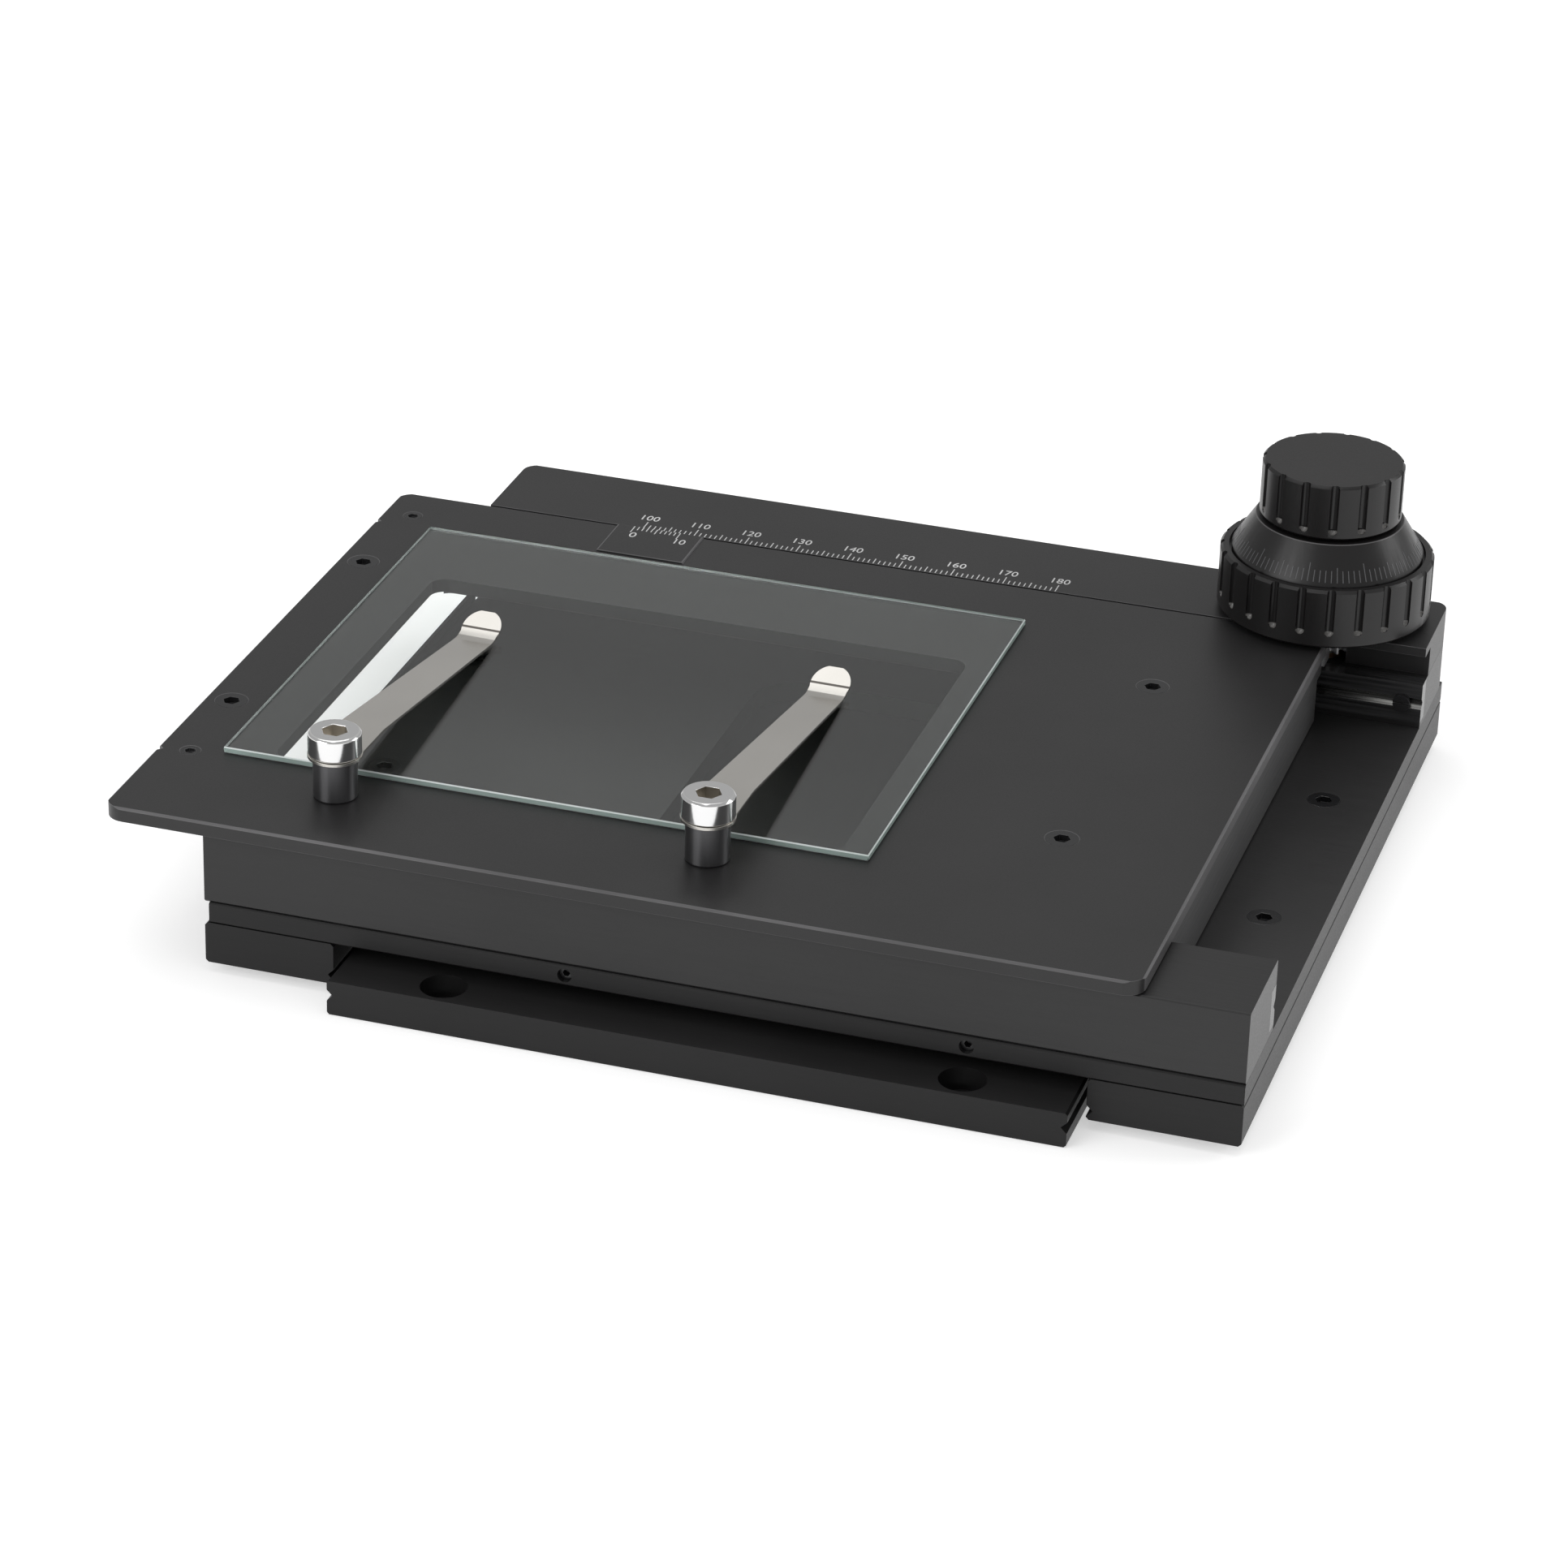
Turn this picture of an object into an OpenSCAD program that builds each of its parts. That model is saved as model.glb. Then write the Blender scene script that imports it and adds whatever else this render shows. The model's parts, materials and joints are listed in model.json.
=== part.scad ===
/* [Base plate] */
// Thickness of the base plate
base_t = 6.3; // [6:0.1:8]
// Distance of the mounting holes from the base plate's side edges
mount_in_x = 19; // [12:1:26]
// Distance of the mounting holes from the base plate's front and rear edges
mount_in_y = 5; // [5:0.5:12]
// Diameter of the mounting holes
mount_d = 4.5; // [3.4:0.1:5.5]
// Diameter of the counterbore for a screw head
bore_head_d = 8; // [7:0.1:9]
// Depth of the counterbore
bore_head_h = 4.2; // [3:0.1:5]
// Air between the base and the carriage plate above it
base_gap = 3.2; // [3.1:0.1:4]

/* [Carriage] */
// Width of the carriage that moves front to back
car_w = 180; // [165:1:200]
// Mean width of the side rails; the base plate fills the space between them
rail_w = 24.6; // [23.5:0.1:27]
// Distance from the base's middle to the carriage's middle, to the right
car_shift = 1.3; // [0:0.1:2]
// Distance from the base's front edge to the carriage's front edge, at rest
front_step = 6.7; // [6:0.1:7.2]
// Thickness of the carriage plate
car_t = 3.8; // [3.4:0.1:5]
// Step between the carriage plate's left edge and the bars above and below it
car_inset = 0.8; // [0.4:0.1:1.5]
// Height that the end plate stands above the carriage plate
end_rise = 1.9; // [1:0.1:2.5]
// Height of the side rails' undersides above the mounting face
rail_lift = 1.9; // [1.5:0.1:2.1]
// Thickness of the front bar, front to back
bar_l = 19.6; // [16:0.1:21]
// Height of the front bar
bar_h = 13.1; // [12.6:0.1:14]
// Height of the riser under the scale block
riser_h = 8.6; // [8:0.1:8.8]
// Length of the riser and scale block, front to back
block_l = 21.3; // [20:0.1:24]
// Thickness of the scale block's front lip
lip_t = 1.7; // [1.2:0.1:2]
// Depth of the recess under the lip that the rack runs in
recess_l = 4.8; // [4.6:0.1:5.5]
// Radius of the scale block's rear corners
block_r = 3; // [1:0.5:5]
// Edge chamfer of the bars and rails
bar_chamfer = 0.5; // [0.2:0.1:0.8]

/* [Light path] */
// Place of the light path, left to right
light_x = 1.8; // [-4:0.1:6]
// Place of the light path, front to back
light_y = -27.7; // [-29:0.1:-24]
// Width of the light windows in the base and the carriage
light_w = 56; // [40:1:60]
// Length of the light window in the base
light_l = 36; // [24:1:36]
// Corner radius of the light windows
light_r = 8; // [3:0.5:12]

/* [Travel] */
// Travel of the stage, left to right
travel_x = 76; // [50:1:78]
// Travel of the stage, front to back
travel_y = 52; // [30:1:54]

/* [Ball guides] */
// Diameter of the guide balls
ball_d = 2.4; // [2:0.1:2.6]
// Gap between a fixed and a moving guide face
guide_gap = 1.4; // [1.2:0.1:1.5]
// Play between a ball and each groove flank
ball_play = 0.03; // [0.02:0.01:0.06]
// Thickness of the ball cages
cage_t = 0.8; // [0.5:0.1:0.8]
// Height of the ball cages
cage_h = 2.8; // [2.7:0.1:3.2]
// Height of the lower guides' grooves above the mounting face
y_guide_z = 3.6; // [3.5:0.1:3.9]
// Number of balls in each lower cage
y_balls = 10; // [4:1:14]
// Length of the lower cages
y_cage_l = 112; // [80:1:112]
// Height of the upper guides' grooves above the carriage plate
x_guide_h = 4.8; // [4.4:0.1:5]
// Number of balls in each upper cage
x_balls = 9; // [4:1:12]
// Length of the upper cages
x_cage_l = 108; // [80:1:108]
// Thickness of the hardened guide strips
strip_w = 3.2; // [3:0.1:4.5]

/* [Top plate] */
// Width of the top plate
plate_w = 180; // [176:1:190]
// Thickness of the top plate
plate_t = 2.6; // [2:0.1:4]
// Overhang of the top plate past the carriage's left edge, at rest
plate_over = 17.6; // [15:0.1:18.5]
// Overhang of the top plate past the front bar
plate_lip = 1.6; // [1.2:0.1:2]
// Corner radius of the top plate
plate_r = 3.5; // [1:0.5:6]
// Chamfer round the top plate's upper edges
plate_chamfer = 0.35; // [0.1:0.05:0.8]
// Air between the front bar and the sliding top plate
run_gap = 0.3; // [0.2:0.05:0.6]
// Width of the opening under the glass
open_w = 101.7; // [80:0.1:102]
// Length of the opening under the glass
open_l = 78.9; // [60:0.1:80]
// Place of the opening from the top plate's left edge
open_x = 20.2; // [18:0.1:22]
// Place of the opening from the top plate's front edge
open_y = 25.6; // [25.5:0.1:30]
// Corner radius of the opening
open_r = 3; // [1:0.5:12]
// Width of the glass plate
glass_w = 115.4; // [114:0.1:118]
// Length of the glass plate
glass_l = 99.2; // [97.5:0.1:112]
// Thickness of the glass plate
glass_t = 1.2; // [0.8:0.1:1.5]
// Place of the glass plate's left edge from the top plate's left edge
glass_x = 11.5; // [9.5:0.1:13]
// Place of the glass plate's front edge from the top plate's front edge
glass_y = 25.2; // [23:0.1:25.3]
// Bare strip between the glass plate and the vernier plate
vernier_gap = 3.1; // [2.5:0.1:6]
// Width of the vernier plate
vernier_w = 17.1; // [12:0.1:20]
// Length of the vernier plate
vernier_l = 12.5; // [11:0.1:14]
// Thickness of the vernier plate
vernier_t = 0.8; // [0.6:0.1:1.2]
// Depth of the pocket that the vernier plate sits in
vernier_sink = 0.5; // [0.3:0.1:0.6]
// Place of the vernier plate from the top plate's left edge
vernier_x = 43.2; // [30:0.1:60]

/* [Slide frame] */
// Step from the top plate's rear edge to the slide frame's rear guide face
slide_in_back = 1.1; // [1:0.1:2]
// Step from the top plate's left edge to the slide frame
slide_in_left = 2; // [1:0.1:2.5]
// Step from the top plate's right edge to the slide frame
slide_in_right = 3.2; // [1:0.1:5]
// Width of the slide frame's left member
frame_left_w = 9.2; // [8:0.1:9.4]
// Width of the slide frame's right block
frame_right_w = 28.5; // [27:0.1:32]
// Thickness of the slide frame's front member behind its strip
frame_front_w = 2; // [1.6:0.1:3]
// Thickness of the slide frame's rear member behind its strip
frame_rear_w = 5.3; // [4:0.1:6]
// Air between the slide frame and the carriage plate
frame_lift = 0.5; // [0.3:0.1:1]

/* [Drive] */
// Tooth module of both racks and pinions
gear_module = 0.7; // [0.7:0.05:0.7]
// Number of teeth on the left-right pinion
x_teeth = 20; // [20:1:20]
// Number of teeth on the front-back pinion
y_teeth = 18; // [18:1:19]
// Free play between the teeth, along the pitch line
backlash = 0.14; // [0.1:0.02:0.2]
// Width of the rack bars' solid part
rack_back = 4.2; // [3.8:0.1:4.3]
// Height of the left-right rack
x_rack_h = 3.2; // [2.8:0.1:3.4]
// Height of the front-back rack
y_rack_h = 2.6; // [2.2:0.1:2.8]
// Distance from the base plate's right edge to its rack's pitch line
y_rack_in = 0.45; // [0.4:0.05:0.6]
// Diameter of the inner shaft
shaft_d = 4; // [3:0.1:4.4]
// Outer diameter of the sleeve
sleeve_d = 8; // [7:0.1:8.2]
// Running play on the radius of shaft, sleeve and clips
run_fit = 0.04; // [0.02:0.01:0.08]

/* [Knobs] */
// Diameter of the large lower knob
ring_d = 39; // [36:0.5:40]
// Height of the large knob's fluted ring
ring_h = 11.3; // [10:0.1:14]
// Air between the top plate and the large knob
ring_gap = 0.8; // [0.6:0.1:1.5]
// Number of flutes round the large knob
ring_flutes = 23; // [12:1:32]
// Height of the graduated cone
cone_h = 6.6; // [4:0.1:10]
// Lower diameter of the graduated cone
cone_d = 34.8; // [30:0.1:35]
// Upper diameter of the graduated cone
cone_top_d = 27; // [20:0.1:28]
// Depth of the groove between the cone and the ring
cone_sink = 1; // [0.5:0.1:2]
// Diameter of the small upper knob
cap_d = 25.8; // [22:0.1:27]
// Height of the small upper knob
cap_h = 10.5; // [9:0.1:14]
// Number of flutes round the small knob
cap_flutes = 15; // [8:1:24]
// Width of a flute
flute_w = 1.6; // [1:0.1:2.2]
// Smooth band under the flutes
flute_stop = 3.2; // [2:0.1:5]
// Edge chamfer of the knobs
knob_chamfer = 0.5; // [0.2:0.1:0.8]

/* [Specimen clips] */
// Place of the left clip post from the top plate's left edge
clip_x = 35.3; // [32:0.1:40]
// Distance between the clip posts
clip_dx = 66.1; // [60:0.1:70]
// Place of the clip posts from the top plate's front edge
clip_y = 17.2; // [14:0.1:17.4]
// Diameter of the posts
post_d = 7.6; // [7:0.1:9]
// Height of the posts
post_h = 7.4; // [6:0.1:9]
// Thread diameter of the clip screws
clip_screw_d = 5; // [4:0.1:5]
// Head diameter of the clip screws
clip_head_d = 9.2; // [8:0.1:10]
// Head height of the clip screws
clip_head_h = 4.2; // [3.5:0.1:6]
// Width across flats of the clip screws' sockets
clip_hex = 4; // [3:0.1:4.5]
// Thickness of the clip blades
blade_t = 0.5; // [0.4:0.05:0.7]
// Width of a blade at its post
blade_w = 8.4; // [7.6:0.1:9]
// Width of a blade at its bend
blade_tip_w = 6.9; // [5:0.1:7]
// Length of a blade from post to bend
blade_l = 63; // [50:0.5:64]
// Length of the flat stretch beside the post
blade_flat_l = 11.3; // [9:0.1:14]
// Length of the turned-up tip
tip_l = 6.4; // [5:0.1:7]
// Diameter of the round end of the tip
tip_d = 7.2; // [6:0.1:7.6]
// Angle of the turned-up tip
tip_angle = 28; // [15:1:45]
// Air between a blade's bend and the glass
clip_gap = 0.1; // [0.05:0.05:0.3]
// Angle of the left blade at rest
clip_turn_left = -1.8; // [-4:0.1:4]
// Angle of the right blade at rest
clip_turn_right = -1.1; // [-4:0.1:4]

/* [Screws] */
// Thread diameter of the plate and rail screws
screw_d = 3; // [2.5:0.1:3]
// Head diameter of the plate and rail screws
screw_head_d = 5.8; // [5:0.1:6]
// Thread diameter of the small screws
small_d = 2; // [1.6:0.1:2]
// Head diameter of the small screws
small_head_d = 3.6; // [3.2:0.1:3.8]
// Distance between plate screws, left to right
plate_screw_dx = 150.1; // [145:0.1:152]
// Distance between plate screws, front to back
plate_screw_dy = 62.7; // [50:0.1:70]
// Place of the plate screws from the top plate's left edge
plate_screw_x = 4.8; // [4.6:0.1:7]
// Place of the front plate screws from the top plate's front edge
plate_screw_y = 44.8; // [40:0.1:50]
// Distance of the rail screws from the carriage's side edges
rail_screw_in = 10.2; // [7:0.1:14]
// Place of the front rail screws from the carriage's front edge
rail_screw_y = 57.4; // [50:0.1:60]
// Distance between rail screws, front to back
rail_screw_dy = 46.9; // [40:0.1:50]
// Play round screws in their holes, on the radius
screw_play = 0.05; // [0.03:0.01:0.1]

/* [Hidden] */
$fn = 64;

black_metal = [0.13, 0.13, 0.135];
black_plastic = [0.1, 0.1, 0.1];
steel = [0.7, 0.71, 0.72];
chrome = [0.86, 0.87, 0.88];
bronze = [0.66, 0.5, 0.28];
glass_tint = [0.75, 0.86, 0.82, 0.35];

// overshoot of cutting shapes, so that no face is left as a film
cut = 1;

// heights, from the mounting face up
car_z = base_t + base_gap;
floor_z = car_z + car_t;
bar_top = floor_z + bar_h;
plate_z = bar_top + run_gap;
plate_top = plate_z + plate_t;
block_top = plate_top - 0.1;
riser_top = floor_z + riser_h;
x_guide_z = floor_z + x_guide_h;
strip_z = floor_z + 1;
frame_z = floor_z + frame_lift;
glass_top = plate_top + glass_t;

// the lengths follow from the top plate, which is as long as the glass and the vernier ask for
plate_l = glass_y + glass_l + vernier_gap + vernier_l;
car_l = plate_l - plate_lip - slide_in_back + guide_gap + block_l;
base_l = car_l;
base_w = car_w - 2 * (rail_w + guide_gap);
mount_dx = base_w - 2 * mount_in_x;
mount_dy = base_l - 2 * mount_in_y;

// edges of the carriage
car_left = car_shift - car_w / 2;
car_front = front_step - base_l / 2;
car_right = car_left + car_w;
car_back = car_front + car_l;
car_mid = (car_left + car_right) / 2;
bar_back = car_front + bar_l;
rail_in = base_w / 2 + guide_gap;

// edges of the slide frame and the rear block
plate_left = car_left - plate_over;
plate_right = plate_left + plate_w;
plate_front = car_front - plate_lip;
plate_back = plate_front + plate_l;
slide_left = plate_left + slide_in_left;
slide_right = plate_right - slide_in_right;
slide_front = bar_back + guide_gap;
slide_back = plate_back - slide_in_back;
rear_face = slide_back + guide_gap;
lip_front = plate_back + 0.5;
inner_front = slide_front + strip_w + frame_front_w;
inner_back = slide_back - strip_w - frame_rear_w;
recess_back = rear_face + recess_l;

// grooves for the balls: flanks at 45 degrees on both sides of the gap
v_depth = ball_d / 2 * sqrt(2) + ball_play * sqrt(2) - guide_gap / 2;
y_cage_pitch = y_cage_l / y_balls;
x_cage_pitch = x_cage_l / x_balls;
y_cage_mid = (car_front + base_l / 2) / 2;
end_top = floor_z + end_rise;
end_screw_in = 3.6;
end_head_d = 3.2;
end_head_h = 0.9;
x_cage_mid = (slide_left + car_right - end_screw_in - end_head_d / 2) / 2;

// racks and pinions
pitch_len = PI * gear_module;
addendum = gear_module;
dedendum = 1.25 * gear_module;
pressure = 20;
x_pitch_r = gear_module * x_teeth / 2;
y_pitch_r = gear_module * y_teeth / 2;
x_rack_line = slide_back + rack_back + dedendum;
y_rack_line = base_w / 2 - y_rack_in;
knob_x = y_rack_line + y_pitch_r;
knob_y = x_rack_line + x_pitch_r;
tip_play = 0.7;
pocket_r = x_pitch_r + addendum + tip_play;
x_rack_z = plate_z - 0.2 - x_rack_h;
x_pinion_z = x_rack_z + 0.1;
x_pinion_h = x_rack_h - 0.2;
y_pinion_z = base_t + 0.4;
y_pinion_h = y_rack_h - 0.5;
rack_over = 4;
y_rack_over = min(rack_over, base_l / 2 - knob_y - 0.3);
rack_screw_in = 2.2;
side_head_d = 3.2;
side_head_h = 1.2;

// bushes and knobs
bush_flange_h = 0.4;
bush_z = x_rack_z + x_rack_h + 0.4;
bush_flange_d = 20;
lower_bush_top = riser_top;
lower_bush_h = 5;
lower_bush_d = sleeve_d + 4;
shaft_bush_d = shaft_d + 4;
washer_h = 0.4;
washer_d = 17;
ring_z = plate_top + ring_gap;
ring_top = ring_z + ring_h;
cone_top = ring_top + cone_h;
cap_gap = 0.4;
cap_z = cone_top + cap_gap;
cap_top = cap_z + cap_h;
sleeve_z = lower_bush_top - lower_bush_h;
sleeve_top = cone_top - 1.5;
shaft_z = y_pinion_z;
shaft_top = cap_top - 3;
ring_groove_w = 0.5;
flute_depth = 0.8;
socket_depth = 0.8;
ring_phase = -75.2;
cap_phase = -76.4;
grub_d = 3;
grub_l = 4.6;
grub_turn = 97;

// pieces on the top plate
glass_left = plate_left + glass_x;
glass_front = plate_front + glass_y;
open_left = plate_left + open_x;
open_front = plate_front + open_y;
clip_left_x = plate_left + clip_x;
clip_right_x = clip_left_x + clip_dx;
clip_post_y = plate_front + clip_y;
post_top = plate_top + post_h;
blade_z = post_top + 0.05;
head_z = blade_z + blade_t + 0.05;
blade_drop = blade_z - glass_top - clip_gap;
vernier_left = plate_left + vernier_x;
corner_screw_x = plate_left + 5.8;
corner_screw_ys = [slide_front + 1.6, slide_back - 8.6];
notch_d = 0.8;
notch_ys = [slide_front + 0.7, slide_back - 13];

// stop pins and their slots
pin_d = 2.8;
pin_play = 0.3;
spigot_d = 1.6;
y_pin_x = base_w / 2 - 14;
y_pin_y = -base_l / 4;
pin_sink = 1.9;
x_pin_x = car_left + 28.7;

// countersunk screws on the carriage; a thread is what reaches past the plates
rail_thread = 4.5;
bar_thread = 6;
rear_thread = 4;
plate_thread = 5;
corner_thread = 3;
end_plate_thread = 5;
rail_screw_xs = [car_left + rail_screw_in, car_right - rail_screw_in];
rail_screw_ys = [car_front + rail_screw_y, car_front + rail_screw_y + rail_screw_dy];
bar_screw_xs = [car_mid - car_w / 3, car_mid, car_mid + car_w / 3];
rear_screw_xs = [car_left + car_w / 10, car_mid - car_w / 15, car_right - car_w * 0.2333];
bar_screw_y = car_front + 9;
rear_screw_y = car_back - 8;
edge_grub_mid = car_mid + car_w / 20;
edge_grub_dx = car_w * 0.3845;
edge_grub_xs = [edge_grub_mid - edge_grub_dx / 2, edge_grub_mid + edge_grub_dx / 2];
edge_grub_l = 6.5;
edge_grub_d = 2.5;
rack_screw_ys = [-20, 0, 20];
y_rack_mid = knob_y - travel_y / 2;
x_rack_x0 = knob_x - travel_x - rack_over;
x_rack_x1 = min(knob_x + rack_over, plate_right - 0.5);
x_rack_screw_xs = [x_rack_x0 + 8, slide_right - frame_right_w - 14];
end_screw_xs = [car_left + end_screw_in, car_right - end_screw_in];
end_plate_front = inner_front + 0.7;
end_plate_back = inner_back - 0.7;
end_plate_ys = [end_plate_front + 16, end_plate_back - 16];

// ---------- shared shapes ----------

// box between two corners
module box(a, b) {
    translate(a) cube(b - a);
}

// flat rectangle with round corners, its lower left corner at the origin
module round_rect(w, l, r) {
    union() {
        translate([r, 0]) square([w - 2 * r, l]);
        translate([0, r]) square([w, l - 2 * r]);
        for (x = [r, w - r], y = [r, l - r]) translate([x, y]) circle(r = r);
    }
}

// upright block with round corners, from one corner
module round_block(corner, w, l, h, r) {
    translate(corner) linear_extrude(h) round_rect(w, l, r);
}

// outline of [y, z] points drawn along the X axis
module bar_x(x0, x1, points) {
    translate([x0, 0, 0]) rotate([90, 0, 90]) linear_extrude(x1 - x0) polygon(points);
}

// outline of [x, z] points drawn along the Y axis
module bar_y(y0, y1, points) {
    translate([0, y1, 0]) rotate([90, 0, 0]) linear_extrude(y1 - y0) polygon(points);
}

// rectangle with chamfered corners as outline points
function chamfered(a0, a1, b0, b1, c) = [[a0 + c, b0], [a1 - c, b0], [a1, b0 + c], [a1, b1 - c],
    [a1 - c, b1], [a0 + c, b1], [a0, b1 - c], [a0, b0 + c]];

// triangle of a V groove; face is the guide face, way points into the solid
function v_points(face, way, z) = [[face + way * v_depth, z], [face - way * cut, z - v_depth - cut],
    [face - way * cut, z + v_depth + cut]];

// countersunk screw with its head flush at z = 0, pointing down
module flat_screw(d, head_d, length) {
    head_h = (head_d - d) / 2;
    difference() {
        union() {
            translate([0, 0, -head_h]) cylinder(d1 = d, d2 = head_d, h = head_h);
            translate([0, 0, -length]) cylinder(d = d, h = length - head_h);
        }
        translate([0, 0, -head_h * socket_depth]) cylinder(d = d, h = head_h, $fn = 6);
    }
}

// hole for such a screw
module flat_hole(d, head_d, length) {
    head_h = (head_d - d) / 2;
    translate([0, 0, -length - 0.2]) cylinder(d = d + 2 * screw_play, h = length + 0.2 + cut);
    translate([0, 0, -head_h]) cylinder(d1 = d + 2 * screw_play, d2 = head_d + 2 * screw_play, h = head_h);
    cylinder(d = head_d + 2 * screw_play, h = cut);
}

// one slot-shaped pocket
module pocket(x0, x1, y0, y1, z0, z1, r) {
    round_block([x0, y0, z0], x1 - x0, y1 - y0, z1 - z0, r);
}

// row of balls along X or Y, through the cage's windows
module balls(count, pitch, centre, along, d) {
    for (i = [0 : count - 1]) {
        step = (i - (count - 1) / 2) * pitch;
        translate(centre + step * along) sphere(d = d);
    }
}

// involute of a circle: angle between tooth centre line and flank at radius r
function roll_angle(r, base) = sqrt(pow(r / base, 2) - 1) * 180 / PI;
function flank_drop(r, base) = roll_angle(r, base) - atan(roll_angle(r, base) * PI / 180);
function half_tooth(r, base, teeth) = let (pitch_r = gear_module * teeth / 2)
    90 / teeth - backlash / pitch_r * 90 / PI + flank_drop(pitch_r, base) - flank_drop(max(r, base), base);

// outline of a pinion with a tooth pointing along +X
function pinion_points(teeth) = let (pitch_r = gear_module * teeth / 2, base = pitch_r * cos(pressure),
    tip = pitch_r + addendum, radii = [pitch_r - dedendum, base, base + (tip - base) * 0.3,
    base + (tip - base) * 0.65, tip])
    [for (i = [0 : teeth - 1], side = [-1, 1], k = [0 : 4])
        let (r = side < 0 ? radii[k] : radii[4 - k], a = i * 360 / teeth + side * half_tooth(r, base, teeth))
        [r * cos(a), r * sin(a)]];

// outline of a rack along +X, teeth towards +Y, pitch line at y = 0, a gap at x = 0
function rack_points(x0, x1, back) = let (slope = tan(pressure), half = pitch_len / 4,
    first = ceil(x0 / pitch_len), last = floor(x1 / pitch_len) - 1)
    concat([[x0, -dedendum - back], [x0, -dedendum]],
        [for (i = [first : last],
            p = [[half - dedendum * slope, -dedendum], [half + addendum * slope, addendum],
            [3 * half - addendum * slope, addendum], [3 * half + dedendum * slope, -dedendum]])
            [i * pitch_len + p[0], p[1]]],
        [[x1, -dedendum], [x1, -dedendum - back]]);

// ---------- base ----------

module base_plate() {
    color(black_metal) difference() {
        bar_y(-base_l / 2, base_l / 2, chamfered(-base_w / 2, base_w / 2, 0, base_t, 0.4));
        for (side = [-1, 1])
            bar_y(-base_l / 2 - cut, base_l / 2 + cut, v_points(side * base_w / 2, -side, y_guide_z));
        for (x = [-mount_dx / 2, mount_dx / 2], y = [-mount_dy / 2, mount_dy / 2]) translate([x, y, 0]) {
            translate([0, 0, -cut]) cylinder(d = mount_d, h = base_t + 2 * cut);
            translate([0, 0, base_t - bore_head_h]) cylinder(d = bore_head_d, h = bore_head_h + cut);
        }
        pocket(light_x - light_w / 2, light_x + light_w / 2, light_y - light_l / 2, light_y + light_l / 2,
            -cut, base_t + cut, light_r);
        for (y = rack_screw_ys) translate([y_rack_line - dedendum - rack_screw_in, y_rack_mid + y, 2])
            cylinder(d = small_d + 2 * screw_play, h = base_t);
        translate([y_pin_x, y_pin_y, 2]) cylinder(d = pin_d + 2 * screw_play, h = base_t);
    }
}

module y_rack() {
    color(steel) difference() {
        translate([y_rack_line, knob_y, base_t]) rotate([0, 0, -90]) linear_extrude(y_rack_h)
            polygon(rack_points(-y_rack_over, travel_y + rack_over, rack_back));
        for (y = rack_screw_ys)
            translate([y_rack_line - dedendum - rack_screw_in, y_rack_mid + y, base_t + y_rack_h])
            flat_hole(small_d, small_head_d, base_t);
    }
}

module y_rack_screws() {
    color(steel) for (y = rack_screw_ys)
        translate([y_rack_line - dedendum - rack_screw_in, y_rack_mid + y, base_t + y_rack_h])
            flat_screw(small_d, small_head_d, base_t);
}

module y_stop_pin() {
    color(steel) translate([y_pin_x, y_pin_y, 2]) cylinder(d = pin_d, h = car_z + pin_sink - 0.4 - 2);
}

// ---------- lower ball guides ----------

module y_cage(side) {
    color(bronze) difference() {
        translate([side * (base_w + guide_gap) / 2, y_cage_mid, y_guide_z])
            cube([cage_t, y_cage_l, cage_h], center = true);
        for (i = [0 : y_balls - 1])
            translate([side * (base_w + guide_gap) / 2, y_cage_mid + (i - (y_balls - 1) / 2) * y_cage_pitch,
                y_guide_z])
                rotate([0, 90, 0]) cylinder(d = ball_d + 0.1, h = 2 * cage_t, center = true);
    }
}

module y_ball_row(side) {
    color(steel) balls(y_balls, y_cage_pitch, [side * (base_w + guide_gap) / 2, y_cage_mid, y_guide_z],
        [0, 1, 0], ball_d);
}

// ---------- carriage ----------

module carriage_plate() {
    color(black_metal) difference() {
        bar_x(car_left + car_inset, car_right, chamfered(car_front, car_back, car_z, floor_z, 0.3));
        pocket(light_x - light_w / 2, light_x + light_w / 2, light_y - light_l / 2,
            light_y + light_l / 2 + travel_y, car_z - cut, floor_z + cut, light_r);
        // slot of the front-back stop, milled from below
        pocket(y_pin_x - pin_d / 2 - pin_play, y_pin_x + pin_d / 2 + pin_play, y_pin_y - pin_d / 2 - pin_play,
            y_pin_y + travel_y + pin_d / 2 + pin_play, car_z - cut, car_z + pin_sink, pin_d / 2);
        // slot of the left-right stop, milled from above
        pocket(x_pin_x - pin_d / 2 - pin_play, x_pin_x + travel_x + pin_d / 2 + pin_play,
            slide_front + strip_w / 2 - pin_d / 2 - pin_play, slide_front + strip_w / 2 + pin_d / 2 + pin_play,
            floor_z - pin_sink, floor_z + cut, pin_d / 2);
        rail_holes();
        for (x = bar_screw_xs) translate([x, bar_screw_y, car_z]) mirror([0, 0, 1])
            flat_hole(screw_d, screw_head_d, car_t + bar_thread);
        for (x = rear_screw_xs) translate([x, rear_screw_y, car_z]) mirror([0, 0, 1])
            flat_hole(screw_d, screw_head_d, car_t + riser_h);
        translate([knob_x, knob_y, car_z - cut]) cylinder(d = shaft_bush_d, h = car_t + 2 * cut);
        for (x = edge_grub_xs) translate([x, car_front - cut, car_z + car_t / 2])
            rotate([-90, 0, 0]) cylinder(d = edge_grub_d, h = 8 + cut);
        end_plate_holes();
    }
}

// screw holes through the end plate into the carriage plate's left edge
module end_plate_holes() {
    for (y = end_plate_ys) translate([car_left - cut, y, car_z + car_t / 2])
        rotate([0, 90, 0]) cylinder(d = small_d + 2 * screw_play, h = 6 + cut);
}

module channel_end_plate() {
    color(black_metal) difference() {
        box([car_left, end_plate_front, car_z + 0.2], [car_left + car_inset, end_plate_back, end_top]);
        end_plate_holes();
    }
}

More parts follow.
